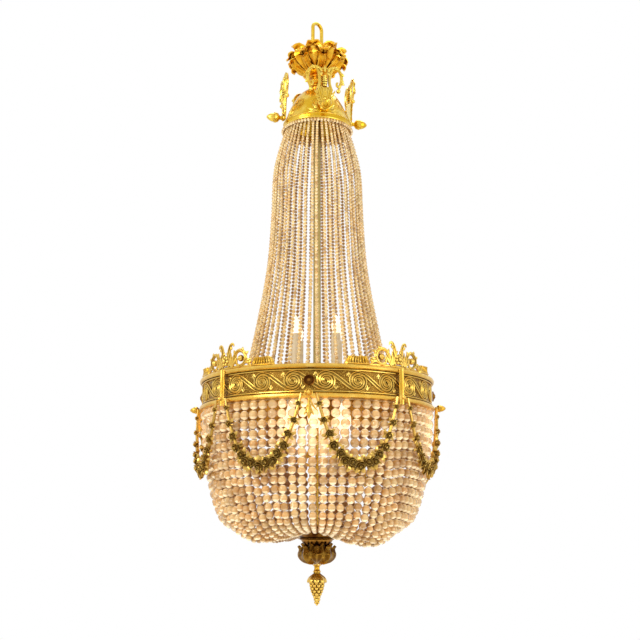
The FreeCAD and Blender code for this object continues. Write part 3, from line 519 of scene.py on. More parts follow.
def grown(name, base, tree, keys, edge=38.0, **values):
    """The plain mesh that a tree makes from a base object, which is used up."""
    modifier = base.modifiers.new(tree.name, "NODES")
    modifier.node_group = tree
    for label, value in values.items():
        modifier[keys[label]] = value
    depsgraph = bpy.context.evaluated_depsgraph_get()
    mesh = bpy.data.meshes.new_from_object(base.evaluated_get(depsgraph))
    base.modifiers.remove(modifier)
    bpy.data.objects.remove(base)
    mesh.name = name
    smoothed(mesh, edge)
    return in_scene(name, mesh)


def bare(name, points, edges=()):
    mesh = bpy.data.meshes.new(name)
    mesh.from_pydata([tuple(Vector(p) * MM) for p in points], list(edges), [])
    return in_scene(name, mesh)


def number_on_points(obj, name, values):
    layer = obj.data.attributes.new(name, "FLOAT", "POINT")
    layer.data.foreach_set("value", values)


print("tree helpers ready")

# %% [markdown]
# ## The tree that strings beads
# A string of beads is one bead set out many times. The script works out the places and sizes,
# and this Geometry Nodes tree puts a bead on each place, gives it a turn and a brightness of
# its own from a fixed seed, and ends in plain mesh.

# %% The tree that strings beads
FULL_TURN = 6.28


def bead_tree():
    tree, keys, source, sink = geometry_tree("Strung beads", [
        ("Cuts", INT, 8), ("Rows", INT, 6), ("Seed", INT, 1), ("Material", MATERIAL)])
    ball = {"Radius": 0.5, "Segments": source["Cuts"], "Rings": source["Rows"]}
    ball = node(tree, "GeometryNodeMeshUVSphere", ball).outputs["Mesh"]
    turns = {"Max": (FULL_TURN, FULL_TURN, FULL_TURN), "Seed": source["Seed"]}
    spin = node(tree, "FunctionNodeRandomValue", turns, data_type="FLOAT_VECTOR").outputs["Value"]
    put = on_points(tree, source["Geometry"], ball, Rotation=spin, Scale=named(tree, "bead"))
    # spark: a random value for each bead, which sets its random tone and the strength of its painted
    # highlights.
    luck = node(tree, "FunctionNodeRandomValue", {"Seed": source["Seed"]}, data_type="FLOAT")
    luck = next(output for output in luck.outputs if output.enabled)
    mark = node(tree, "GeometryNodeStoreNamedAttribute", {"Geometry": put, "Name": "spark", "Value": luck},
                data_type="FLOAT", domain="INSTANCE")
    finish_tree(tree, mark.outputs["Geometry"], source, sink)
    return tree, keys


BEAD_TREE, BEAD_KEYS = bead_tree()


def beads(name, string, material, seed, cuts=8, rows=6):
    """string holds (point, diameter) for each bead."""
    base = bare(name, [p for p, size in string])
    number_on_points(base, "bead", [size * MM for p, size in string])
    return grown(name, base, BEAD_TREE, BEAD_KEYS, Cuts=cuts, Rows=rows, Seed=seed, Material=material)


print("bead tree has inputs", sorted(BEAD_KEYS))

# %% [markdown]
# ## Bead strings
# A string hangs in a smooth curve and its beads touch, so the script walks along the curve and
# drops a bead each time the last one's width is used up. The real strings hang a little
# unevenly: each is nudged by a degree or so, with a fixed seed. The strings' curves repeat
# the construction's lines.

# %% Walk along a curve
LOOSE_END = 0.5


def along(line, sizes, gap=0.2):
    """Beads along a line of points: sizes holds (share of the length, diameter) pairs."""
    reach = [0.0]
    for a, b in zip(line, line[1:]):
        reach.append(reach[-1] + (b - a).length)
    total = reach[-1]
    out, walked, k = [], 0.0, 0
    while True:
        share = min(walked / total, 1.0)
        low = max((s for s in sizes if s[0] <= share), key=lambda s: s[0])
        high = min((s for s in sizes if s[0] >= share), key=lambda s: s[0])
        part = (share - low[0]) / (high[0] - low[0]) if high[0] > low[0] else 0.0
        size = low[1] + (high[1] - low[1]) * part
        middle = walked + size / 2
        if middle + size / 2 > total + LOOSE_END:
            return out
        while k < len(reach) - 2 and reach[k + 1] < middle:
            k += 1
        part = (middle - reach[k]) / max(reach[k + 1] - reach[k], 1e-6)
        out.append((line[k].lerp(line[k + 1], part), size))
        walked += size + gap


def strings(kind, count, string, chance, material, seed, cuts=8, rows=6):
    """The strings in four pieces, as the construction has them in four nodes."""
    for quarter in range(4):
        hung = []
        for index in range(quarter * count // 4, (quarter + 1) * count // 4):
            hung += string(index, chance)
        made = beads("%s_beads_%d" % (kind, quarter + 1), hung, material, seed + quarter, cuts, rows)
        dress(made, "glass_beads", "%s_strands_%d" % (kind, quarter + 1))


print("strings can be walked and hung")

# %% [markdown]
# ## The basket
# Seventy-two strings leave the ring's underside, drop as a curtain, turn in at the belly and
# run in to the hub. Four lobes hang lower than the seams between them, and those on the right
# a little lower than those on the left. Every second string stops beside its neighbours where
# they grow too close. The beads shrink towards the hub.

# %% Basket beads
RING_TOP, RING_BOTTOM, RING_RADIUS = -800.0, -864.0, 240.0
HUB_SEAT_Z, HUB_SEAT_RADIUS, BASKET_DEPTH = -1094.0, 54.5, 230.0
BASKET_STRINGS, STRING_LEAN, LOBE_DROP = 72, 1.2, 6.0
LONG_SIZES = [(0.0, 18.0), (0.12, 18.0), (0.35, 17.6), (0.56, 16.2), (0.66, 13.4), (0.77, 9.8), (1.0, 6.8)]
SHORT_SIZES = [(0.0, 18.0), (0.16, 18.0), (0.48, 17.6), (0.76, 15.8), (1.0, 10.4)]


def basket_line(index, angle):
    """The string's curve as (radius, height) points; lobe is 0 at a seam and 1 between two."""
    lobe = math.sin(math.radians(2 * angle)) ** 2
    drop = LOBE_DROP * lobe * math.sin(math.radians(angle))
    line = [(228.5, RING_BOTTOM), (228, RING_BOTTOM - 30), (225, RING_BOTTOM - 0.28 * BASKET_DEPTH),
            (216, RING_BOTTOM - 0.54 * BASKET_DEPTH), (201, RING_BOTTOM - 0.80 * BASKET_DEPTH),
            (178 + 4 * lobe, RING_BOTTOM - 0.97 * BASKET_DEPTH - 8 * lobe - drop),
            (116 + 34 * lobe, HUB_SEAT_Z - 8 - 22 * lobe - drop)]
    if index % 2 == 0:
        line += [(HUB_SEAT_RADIUS + 14, HUB_SEAT_Z - 8 - 6.6 * lobe), (HUB_SEAT_RADIUS, HUB_SEAT_Z)]
    return line


def basket_string(index, chance):
    angle = 360.0 * (index + 0.5) / BASKET_STRINGS
    sway = chance.uniform(-0.45, 0.45) - STRING_LEAN
    line = [at(r, angle + sway * min(k, 3) / 3, z) for k, (r, z) in enumerate(basket_line(index, angle))]
    sizes = LONG_SIZES if index % 2 == 0 else SHORT_SIZES
    drift = chance.uniform(0.95, 1.0)
    sizes = sizes[:1] + [(share, size * drift) for share, size in sizes[1:]]
    return along(smooth_line(line, 8), sizes)


chance = random.Random(11)
strings("basket", BASKET_STRINGS, basket_string, chance, BEADS, 0)

# %% [markdown]
# ## The tent
# Forty-eight strings of small beads hang from the hoop in the crown's rim and spread to the
# hoop on the arms. Near the top they bulge out a little, each by its own amount. A rope of the
# same beads runs round under the crown's rim.

# %% Tent beads
TENT_STRINGS, TENT_TOP_Z, TENT_FOOT_Z = 48, -244.0, -795.0
CROWN_TOP, CROWN_RIM, CROWN_TURN = -154.0, -249.0, 16.0
ROPE_RADIUS, ROPE_Z, ROPE_BEADS, ROPE_BEAD = 74.5, -252.8, 66, 7.0


def tent_string(index, chance):
    angle = 360.0 * (index + 0.5) / TENT_STRINGS
    bulge = chance.uniform(-1.5, 2.0)
    drift = chance.uniform(-1.6, 1.6)
    line = [(64, TENT_TOP_Z), (79 + bulge, TENT_TOP_Z - 52), (91 + bulge, TENT_TOP_Z - 112),
            (95 + bulge / 2, -450), (103, -559), (123, -680), (147, TENT_FOOT_Z)]
    points = [at(r, angle + drift * math.sin(math.pi * k / (len(line) - 1)), z)
              for k, (r, z) in enumerate(line)]
    return along(smooth_line(points, 8), [(0.0, 6.2), (0.2, 7.0), (1.0, 8.5)], 0.1)


strings("tent", TENT_STRINGS, tent_string, chance, SMALL_BEADS, 10, 7, 5)
rope = [(at(ROPE_RADIUS, 360.0 * k / ROPE_BEADS, ROPE_Z), ROPE_BEAD) for k in range(ROPE_BEADS)]
dress(beads("crown_rope_beads", rope, SMALL_BEADS, 30), "glass_beads", "crown_rope")

# %% [markdown]
# ## Leaves, and a tree that sets them round the stem
# The canopy, the cup and the finial are rings of acanthus leaves. One leaf is a thin closed
# sheet: its spine is a line of radius and height, its edge is cut into lobes, a rib runs up the
# middle and veins slant off it. A node tree then repeats any shape round the stem.

# %% One leaf
RIB_WIDTH, VEIN_HEIGHT, NARROWEST = 0.16, 0.7, 0.6


def leaf(spine, half_width, lobes=4, rib=2.0, cup=4.0, thick=1.8, rows=24, columns=10, foot=0.3,
         widest=0.6, blunt=0.5, cut=0.22):
    """A lobed leaf wrapped round the stem; cup pulls its edges in towards the stem."""
    line = smooth_line([(r, 0, z) for r, z in spine], max(2, rows // (len(spine) - 1)))
    loops = []
    for k, p in enumerate(line):
        t = k / (len(line) - 1)
        before, after = line[max(k - 1, 0)], line[min(k + 1, len(line) - 1)]
        run = (after - before).normalized()
        out = Vector((-run.z, 0, run.x))
        if k == 0 and out.x < 0 or k and out.dot(was) < 0:
            out = -out
        was = out
        lobed = 1 - cut * abs(math.sin(math.pi * lobes * t)) ** 0.7
        opened = foot + (1 - foot) * math.sin(math.pi / 2 * min(t / widest, 1.0)) ** 1.2
        narrow = max(0.0, (t - widest) / (1 - widest))
        width = half_width * opened * (1 - narrow ** 2.2) ** blunt * lobed + NARROWEST
        front, rear = [], []
        for c in range(columns + 1):
            u = 2 * c / columns - 1
            vein = math.cos(2 * math.pi * (lobes * t - 1.1 * abs(u))) * min(1.0, 3 * abs(u)) * (1 - t * 0.5)
            lift = rib * math.exp(-(u / RIB_WIDTH) ** 2) * (1 - 0.6 * t) + VEIN_HEIGHT * vein - cup * u * u
            for side, deep in ((front, lift), (rear, lift - thick)):
                q = p + out * deep
                side.append(at(q.x, math.degrees(u * width / max(q.x, 8.0)), q.z))
        loops.append(front + rear[::-1])
    return loft(loops)


def round_tree():
    """Copies the geometry round the upright axis, Count times, from the angle First."""
    tree, keys, source, sink = geometry_tree("Round the stem", [
        ("Count", INT, 8), ("First", FLOAT, 0.0), ("Material", MATERIAL)])
    places = node(tree, "GeometryNodeMeshLine", {"Count": source["Count"], "Offset": (0, 0, 0)})
    step = maths(tree, "DIVIDE", 2 * math.pi, source["Count"])
    index = node(tree, "GeometryNodeInputIndex").outputs["Index"]
    start = times(tree, source["First"], math.pi / 180)
    turn = node(tree, "ShaderNodeCombineXYZ", {"Z": maths(tree, "ADD", times(tree, index, step), start)})
    put = on_points(tree, places.outputs["Mesh"], source["Geometry"], Rotation=turn.outputs["Vector"])
    finish_tree(tree, put, source, sink)
    return tree, keys


ROUND_TREE, ROUND_KEYS = round_tree()


def ring_of_pieces(name, shape, count, first, material, edge=38.0):
    base = piece(name + "_one", shape, material, edge)
    return grown(name, base, ROUND_TREE, ROUND_KEYS, edge, Count=count, First=first, Material=material)


print("leaf and ring tree ready")

# %% [markdown]
# ## Link, eye and stem
# The link hangs on the ceiling hook, and an eye screwed into the stem's top swings on its lower
# bow. The stem is a tube that clamps canopy, collar, neck and crown with hexagon nuts.

# %% Link, eye, tube and nuts
LINK_TURN, LINK_WIRE, LINK_BOW, LINK_STRAIGHT, LINK_TOP_BOW_Z = 50.0, 8.0, 14.0, 40.0, -10.0
HINGE_Z, EYE_MIDDLE, EYE_BAR = -64.0, 8.0, 6.6
TUBE_RADIUS, TUBE_TOP, TUBE_END = 8.0, -79.0, -821.0


def link_shape():
    line = []
    for step in range(48):
        turn = 2 * math.pi * step / 48
        lower = 0.0 if step < 24 else LINK_STRAIGHT
        height = LINK_TOP_BOW_Z - lower + LINK_BOW * math.sin(turn)
        line.append(Vector((LINK_BOW * math.cos(turn), 0, height)))
    return turned(bar(line, LINK_WIRE / 2, 16, face=(0, 1, 0), closed=True), LINK_TURN)


def eye_shape():
    line = [Vector((0, EYE_MIDDLE * math.cos(a), HINGE_Z + EYE_MIDDLE * math.sin(a)))
            for a in (2 * math.pi * k / 32 for k in range(32))]
    foot = [(0, -74.5), (6.5, -74.5), (9, -77), (9, TUBE_TOP), (7.5, TUBE_TOP - 0.5), (0, TUBE_TOP - 0.5)]
    eye = bar(line, EYE_BAR / 2, 16, face=(1, 0, 0), closed=True)
    return turned(joined([eye, lathe(foot, 32)]), LINK_TURN)


def hex_nut(z, across=26.0, height=8.0):
    """A nut with its corners turned down at both faces."""
    corner = across / 2 / math.cos(math.pi / 6)
    return lathe([(0, z), (corner - 1.6, z), (corner, z + 1.2), (corner, z + height - 1.2),
                  (corner - 1.6, z + height), (0, z + height)], 6)


cast("link_bow", link_shape(), BRIGHT, "bright_gilt", "hanging_link", body="link")
cast("eye_bow", eye_shape(), WARM, "orange_gilt", "stem_eye")
tube = lathe([(0, TUBE_TOP), (TUBE_RADIUS, TUBE_TOP), (TUBE_RADIUS, TUBE_END), (0, TUBE_END)], 40)
cast("stem_column", tube, OLIVE, "antique_brass", "stem_tube")
nuts = joined([hex_nut(z) for z in (-113.0, -166.5, -813.0)])
cast("stem_hex_nuts", nuts, STEEL, "plain_steel", "stem_nuts", edge=25.0)

# %% [markdown]
# ## Canopy, collar and neck
# Eight broad leaves open like a tulip and their tips roll over, with a rolled edge up each side.
# Narrower leaves fill the gaps, one row behind and one below, and a plain cup inside closes
# them. The neck is a small turned baluster.

# %% Canopy, collar and neck
CANOPY_FIRST, CANOPY_LEAVES = -6.0, 8
CANOPY_GAP = CANOPY_FIRST + 180.0 / CANOPY_LEAVES
BROAD = [(26, -116), (33, -110), (45, -102), (53, -95), (57.5, -88), (58.5, -82), (57, -76.5), (55.5, -74),
         (57.5, -71.5), (61, -74)]
NARROW = [(25, -115), (32, -109), (44, -101), (52, -93), (57, -86), (60, -82.5), (61.5, -84.5), (60.5, -88.5)]
UNDER = [(25, -116), (34, -111.5), (46, -105), (53, -98.5), (56.5, -95), (58.5, -96.5), (58, -100)]
EDGE = [(29, 11, -113), (42, 14, -104), (53, 17, -94), (58, 19, -86.5), (59, 18, -80), (58, 13, -75)]
CUP = [(24, -116), (28, -110), (40, -101), (50, -91), (55, -83), (53.5, -83), (48, -91), (38, -100),
       (24, -109)]
COLLAR = [(0, -124), (22, -124), (29, -122.8), (32, -120.6), (31, -118.4), (27.5, -117.4), (26.5, -116),
          (0, -116)]
NECK = [(0, -154), (15, -154), (15.4, -152.6), (13.5, -150), (12.2, -147), (13, -144.6), (17.2, -142.6),
        (19, -139), (18.4, -135.4), (14.5, -132.6), (12.3, -130.4), (13, -128), (16.4, -126.4),
        (17.1, -124.8), (17, -124), (0, -124)]


def canopy_ring(name, shape, first):
    return ring_of_pieces(name, shape, CANOPY_LEAVES, first, WARM)


broad = leaf(BROAD, 26.0, 5, 4.0, 7.0, foot=0.40, widest=0.62, blunt=0.8)
narrow = leaf(NARROW, 17.0, 4, 3.0, 5.0, foot=0.4, widest=0.70, blunt=0.45)
under = leaf(UNDER, 11.0, 3, 2.6, 4.0, foot=0.5, widest=0.6, blunt=0.5)
canopy = [canopy_ring("canopy_leaf", broad, CANOPY_FIRST),
          canopy_ring("canopy_back_leaf", narrow, CANOPY_GAP),
          canopy_ring("canopy_under_leaf", under, CANOPY_GAP)]
for side in (-1, 1):
    edge = smooth_line([at(r, side * a, z) for r, a, z in EDGE], 5)
    edge = bar(edge, smooth_values([2.0, 2.0, 2.2, 2.7, 3.0, 1.8], 5), 8)
    canopy.append(canopy_ring("canopy_edge", edge, CANOPY_FIRST))
canopy.append(piece("canopy_cup", lathe(CUP, 48, closed=True), WARM))
dress(melted("canopy_leaves", canopy, WARM), "orange_gilt", "leaf_canopy")
turning("collar_moulding", COLLAR, 64, WARM, "orange_gilt", "canopy_collar")
turning("neck_turning", NECK, 48, WARM, "orange_gilt", "neck_baluster")

# %% [markdown]
# ## Crown
# The dome is spun metal, so one outline turned round the stem makes it, with a double line
# over its rim. Sprays of small leaves are chased on the dome beside each crest's foot.

# %% Dome and its sprays
DOME_WIDTH, DOME_DROP, DOME_TOP_RADIUS, DOME_WALL, STEM_HOLE = 71.5, 81.0, 14.0, 2.4, 8.3
SPRAY_FOOT_Z = -232
SPRAY = ((70, 22, 0), (40, 17, 0), (100, 17, 0), (20, 11, 2), (125, 11, 2))


def dome_radius(drop):
    return max(DOME_TOP_RADIUS, DOME_WIDTH * (drop / DOME_DROP) ** 0.38)


def dome_shape():
    drops = [DOME_DROP * (k / 20) ** 1.7 for k in range(1, 21)]
    outer = [(STEM_HOLE, CROWN_TOP), (DOME_TOP_RADIUS, CROWN_TOP)]
    outer += [(dome_radius(d), CROWN_TOP - d) for d in drops if dome_radius(d) > DOME_TOP_RADIUS + 1]
    rim = [(73.2, -236), (74.2, -237.2), (73.3, -238.4), (72.6, -239.2), (72.6, -243.6), (74.3, -244.8),
           (74.6, -246.4), (74.0, -248.2), (72.8, CROWN_RIM)]
    inner = [(70.8, CROWN_RIM), (70.4, -238)]
    inner += [(dome_radius(d) - DOME_WALL, CROWN_TOP - d) for d in drops[:5:-1]]
    inner += [(DOME_TOP_RADIUS, CROWN_TOP - 4.4), (STEM_HOLE, CROWN_TOP - 4.4)]
    return lathe(outer + rim + inner, 96, closed=True)


def spray_leaf(angle, z, lean, size):
    """A little leaf laid on the dome, leaning away from the crest."""
    points = []
    for k in range(7):
        t = k / 6
        w = z + size * t * math.cos(math.radians(lean))
        a = angle + size * t * math.sin(math.radians(lean)) / 1.2
        points.append(at(dome_radius(CROWN_TOP - w) + 0.6, a, w))
    return bar(points, [0.8, 2.2, 3.2, 3.4, 2.8, 1.6, 0.4], 8, flat=0.5, face=tuple(at(1, angle, 0)))


def dome_sprays():
    shapes = []
    for k in range(4):
        for side in (-1, 1):
            base = CROWN_TURN + 90 * k + side * 13
            for lean, size, off in SPRAY:
                foot = SPRAY_FOOT_Z + (6 if lean < 60 else 0)
                shapes.append(spray_leaf(base + side * off, foot, side * lean, size))
    return joined(shapes)


cast("crown_dome_skin", joined([dome_shape(), dome_sprays()]), BRIGHT, "bright_gilt", "crown_dome")

# %% [markdown]
# ## The crests
# Four pierced crests stand on the rim. Each is drawn flat on a grid: a shield at the foot, a
# ringed neck in an opening, two arms that end in volutes, and leaves along them. Bars along
# smooth lines make the strips, because a bar that thins and turns is the easiest way to draw a
# casting of this kind. Only half is drawn where both halves are alike.

# %% The crests
CREST_OUT, CREST_FOOT_Z, CREST_TOP = 69.8, -230.0, 99.6


def upright(points, out=0.0):
    """Drawn points (across, up) as points on the front plane, out from it."""
    return [Vector((u, -out, w)) for u, w in points]


def two_sided(shape):
    """A shape and its mirror image across the middle."""
    return joined([shape, ([Vector((-p.x, p.y, p.z)) for p in shape[0]], [f[::-1] for f in shape[1]])])


def strip(points, sizes, out=0.0):
    """A cast strip along drawn points, smooth, thinner front to back than across."""
    return bar(smooth_line(upright(points, out), 4), smooth_values(sizes, 4), 8, 0.7, face=(0, -1, 0))


def sprig(u, w, tilt, size, widths, out, top=1000.0):
    """A short leaf from a drawn point, leaning by tilt degrees and no higher than top."""
    lean = math.radians(tilt)
    tip = (u + size * math.sin(lean), min(w + size * math.cos(lean), top))
    return strip([(u, w), ((u + tip[0]) / 2, (w + tip[1]) / 2), tip], widths, out)


def knob(across, up, radius, out=0.0, sides=12):
    rows = [(radius * math.sin(math.pi * k / 6), radius * math.cos(math.pi * k / 6)) for k in range(7)]
    return shifted(lathe(rows, sides), across, -out, up)


def plate(outline, back, front, bulge):
    """A flat casting from a drawn outline, swollen a little at the middle of its face."""
    middle = Vector((sum(u for u, w in outline) / len(outline), sum(w for u, w in outline) / len(outline)))
    loops = []
    for out, shrink in ((back, 1.0), (front, 1.0), (front + bulge * 0.7, 0.75), (front + bulge, 0.35)):
        loops.append([Vector((middle.x + (u - middle.x) * shrink, -out, middle.y + (w - middle.y) * shrink))
                      for u, w in outline])
    return loft(loops)


SHIELD = [(0, 0), (8, 1), (10, 8), (12, 16), (14, 30), (18, 46), (12, 51), (0, 52)]
ARM = [(15, 45), (11, 57), (10.5, 69), (12.5, 82), (18, 93), (27, 93.5), (34.5, 85), (37, 72), (35, 60),
       (30.5, 53.5), (26.5, 56), (27, 62), (30.5, 62.5)]
ARM_SIZES = [3.4, 3.4, 3.2, 3.4, 3.8, 3.8, 3.6, 3.6, 3.4, 3.0, 2.6, 2.2, 1.2]
ARM_RIDGE = [0.9, 1.0, 1.0, 1.0, 1.2, 1.2, 1.2, 1.0, 0.6]
NECK_RINGS = ((54, 4.6), (59, 5.4), (64, 6.0), (69, 5.4), (74, 4.6))
CREST_LEAVES = ((0, 85, 0, 15), (7, 85, 30, 13), (13, 92, 62, 12), (22, 93, 82, 10), (33, 85, 128, 12),
                (37, 70, 165, 11), (11, 76, -38, 10), (24, 91, 20, 8), (36, 62, 120, 8))
CREST_BERRIES = ((0, 6, 5.2), (6, 2.5, 3.4), (5.6, 12, 3.2), (0, 16, 4.0), (0, 24, 3.2))


def crest_shape():
    """Drawn on a grid 76 across and 100 up."""
    shield = [(p.x, p.z) for p in smooth_line(upright(SHIELD), 3)]
    shapes = [plate(shield + [(-u, w) for u, w in shield[-2:0:-1]], 0.4, 3.4, 1.4)]
    for inset, low in ((3.0, 14), (6.6, 22), (10.2, 30)):
        line = [(0, low), (8 - inset * 0.4, low + 4), (13.8 - inset, low + 17), (17.6 - inset, 49)]
        shapes.append(two_sided(strip(line, [1.3, 1.4, 1.4, 1.1], 4.6)))
    shapes.append(two_sided(strip(ARM, ARM_SIZES, 2.8)))
    shapes.append(two_sided(strip(ARM[:9], ARM_RIDGE, 5.2)))
    shapes.append(two_sided(strip([(35, 59), (32.5, 51), (30, 45)], [2.4, 2.2, 3.0], 2.8)))
    shapes.append(two_sided(knob(30, 43.5, 4.8, 2.8)))
    shapes.append(two_sided(strip([(12, 83), (7, 91), (0, 94)], [2.8, 2.6, 2.4], 3.0)))
    for up, radius in NECK_RINGS:
        ring = lathe([(0, -2.4), (radius, -2), (radius + 0.9, 0), (radius, 2), (0, 2.4)], 16)
        shapes.append(shifted(ring, 0, -2.6, up))
    for u, w, tilt, size in CREST_LEAVES:
        for side in (-1, 1) if u else (1,):
            shapes.append(sprig(side * u, w, side * tilt, size, [2.4, 3.4, 0.6], 4.8, CREST_TOP))
    for u, w, radius in CREST_BERRIES:
        berry = knob(u, w, radius, 4.6)
        shapes.append(two_sided(berry) if u else berry)
    for w, reach in ((12, 12.5), (21, 14.5), (30, 17), (39, 20.5)):
        line = [(reach - 5, w - 4), (reach, w), (reach + 2, w + 5)]
        shapes.append(two_sided(strip(line, [1.6, 1.9, 0.5], 4.2)))
    return joined(shapes)


crest = crest_shape()
for k in range(4):
    stood = standing(crest, CREST_OUT + 0.3, CROWN_TURN + 90 * k, CREST_FOOT_Z)
    cast("crown_crest_casting_%d" % (k + 1), stood, BRIGHT, "bright_gilt", "crown_crest_%d" % (k + 1))

# %% [markdown]
# ## Acorns and bosses
# Four turned acorns stand out from the crown's rim and four smaller ones from the ring. An acorn
# is an outline turned round its own axis, with shallow flutes, and then laid over so that it
# points outwards. Above each ring acorn sits a dark rosette, turned in steps.

# %% Acorns of the crown and of the ring
FRIEZE_Z, SCREW_Z = -832.0, -857.0
RING_FACE = RING_RADIUS + 0.3
BOSS = [(0, 0), (10.4, 0), (10.5, 1.6), (9.6, 2.6), (8.2, 2.2), (7.4, 3.4), (6.2, 3.2), (5.4, 4.6),
        (4.2, 4.4), (3.2, 5.9), (0, 6)]


def acorn_shape(neck, grown_by, seat=6.4):
    """A knob on a neck: a rimmed cup and a pointed nut with flutes in its sides."""
    outline = [(0, 0), (seat, 0), (seat, 1.2), (4.2, 2.4), (3.8, neck - 1), (5.6, neck + 0.4),
               (9.0, neck + 3.0), (10.4, neck + 7.5), (10.6, neck + 10.2), (9.6, neck + 10.8),
               (8.9, neck + 11), (8.8, neck + 14), (7.4, neck + 18), (5.0, neck + 22), (2.2, neck + 25),
               (0, neck + 26)]
    rings = []
    for r, z in outline:
        flute = 0.07 if z > neck + 10.9 else (0.03 if z > neck + 2 else 0.0)
        angles = [7.5 * k for k in range(48)]
        rings.append([at(r * (1 - flute * (1 - abs(math.cos(6 * math.radians(a))))), a, z) for a in angles])
    return placed(loft(rings), Matrix.Scale(grown_by, 4))


knobs = all_round(outward(acorn_shape(7.6, 1.08), CREST_OUT + 6, CREST_FOOT_Z + 3.6), 4, CROWN_TURN)
cast("crown_knobs", knobs, BRIGHT, "bright_gilt", "crown_acorns")
small = all_round(outward(acorn_shape(5.4, 0.72), RING_FACE, SCREW_Z), 4)
cast("ring_knobs", small, ANTIQUE, "antique_brass", "ring_acorns")
bosses = all_round(outward(lathe(BOSS, 32), 236.1, FRIEZE_Z), 4)
cast("frieze_rosettes", bosses, BROWN, "antique_brass", "frieze_bosses", edge=30.0)

# %% [markdown]
# ## The ring
# The ring is one outline turned round the stem: a rounded moulding and a fine line along each
# edge, with a sunk ground between them for the running scroll. The ground is punched all over
# with small dots, which a second brass shows as a speckled texture. Inside, a dark sheet is
# painted shade: it darkens the back of the band, where the shadow falls.

# %% Ring band
GROUND_RADIUS, RING_INSIDE, FLANGE_INSIDE = 232.0, 228.0, 212
RING_MOULDING = [(235.5, 0), (238.6, 1.4), (240.0, 4.2), (239.2, 7.4), (236.8, 9.2), (234.0, 9.4),
                 (234.0, 10.4), (235.8, 11.2), (235.6, 12.6), (GROUND_RADIUS, 13.4)]
ring_low = [(r, RING_BOTTOM + up) for r, up in RING_MOULDING]
ring_high = [(r, RING_TOP + RING_BOTTOM - z) for r, z in ring_low[::-1]]
flanges = [(RING_INSIDE, RING_TOP), (RING_INSIDE, -805), (FLANGE_INSIDE, -805), (FLANGE_INSIDE, -808),
           (RING_INSIDE, -808), (RING_INSIDE, -861), (FLANGE_INSIDE, -861), (FLANGE_INSIDE, RING_BOTTOM)]
band = ring_low + ring_high + flanges
turning("ring_mouldings", band, 144, ANTIQUE, "antique_brass", "ring_band", closed=True)
# Painted shade: a dark brown sheet just inside the band darkens its inner face.
shade_lining = [(RING_INSIDE - 0.9, -860.8), (RING_INSIDE - 0.1, -860.8), (RING_INSIDE - 0.1, -808.2),
          (RING_INSIDE - 0.9, -808.2)]
turning("ring_lining", shade_lining, 96, BROWN, "antique_brass", closed=True)
points, faces = lathe([(GROUND_RADIUS + 0.1, RING_BOTTOM + 13), (GROUND_RADIUS + 0.5, RING_BOTTOM + 13.4),
                       (GROUND_RADIUS + 0.5, RING_TOP - 13.4), (GROUND_RADIUS + 0.1, RING_TOP - 13)], 144)
uncapped = (points[:-2], [f for f in faces if len(f) == 4])
cast("ring_ground", uncapped, GROUND, "antique_brass")

# %% [markdown]
# ## The running scroll
# One wave of the scroll is drawn flat: out of one spiral, over, down and into the next. A node
# tree turns each line into a round bar, sets Count waves in a row and bends the row round the
# ring, so 24 waves meet where they started. Each wave has a broad sunk bar with two fine raised
# ones on its edges, and small leaves fill the corners.

# %% The frieze tree
WAVES, WAVES_EACH = 24, 6
WAVE_PITCH = 2 * math.pi * GROUND_RADIUS / WAVES
WAVE_OUTER, WAVE_EYE, WAVE_WIND = 15.8, 2.2, 545.0
FILL_ROOT = 15.5


def wave_line():
    """One wave drawn flat as (along, up); it winds about one and a half turns at each end."""
    leaving = []
    for step in range(33):
        share = step / 32
        turn = math.radians(90 + WAVE_WIND * (1 - share))
        radius = WAVE_EYE + (WAVE_OUTER - WAVE_EYE) * share ** 0.85
        leaving.append((radius * math.cos(turn), radius * math.sin(turn)))
    crossing = [(WAVE_PITCH * share, WAVE_OUTER * math.cos(math.pi * share))
                for share in (0.2, 0.35, 0.5, 0.65, 0.8)]
    arriving = [(WAVE_PITCH - u, -w) for u, w in leaving[::-1]]
    return leaving + crossing + arriving


def side_line(line, side, offset):
    """The drawn line pushed to one side, less where the spiral winds tight."""
    out = []
    for k, (u, w) in enumerate(line):
        before, after = line[max(k - 1, 0)], line[min(k + 1, len(line) - 1)]
        du, dw = after[0] - before[0], after[1] - before[1]
        size = math.hypot(du, dw) or 1.0
        near = min(k, len(line) - 1 - k) / (len(line) / 2)
        push = side * (0.35 + 0.65 * min(1.0, near * 1.6)) * offset
        out.append((u - dw / size * push, w + du / size * push))
    return out


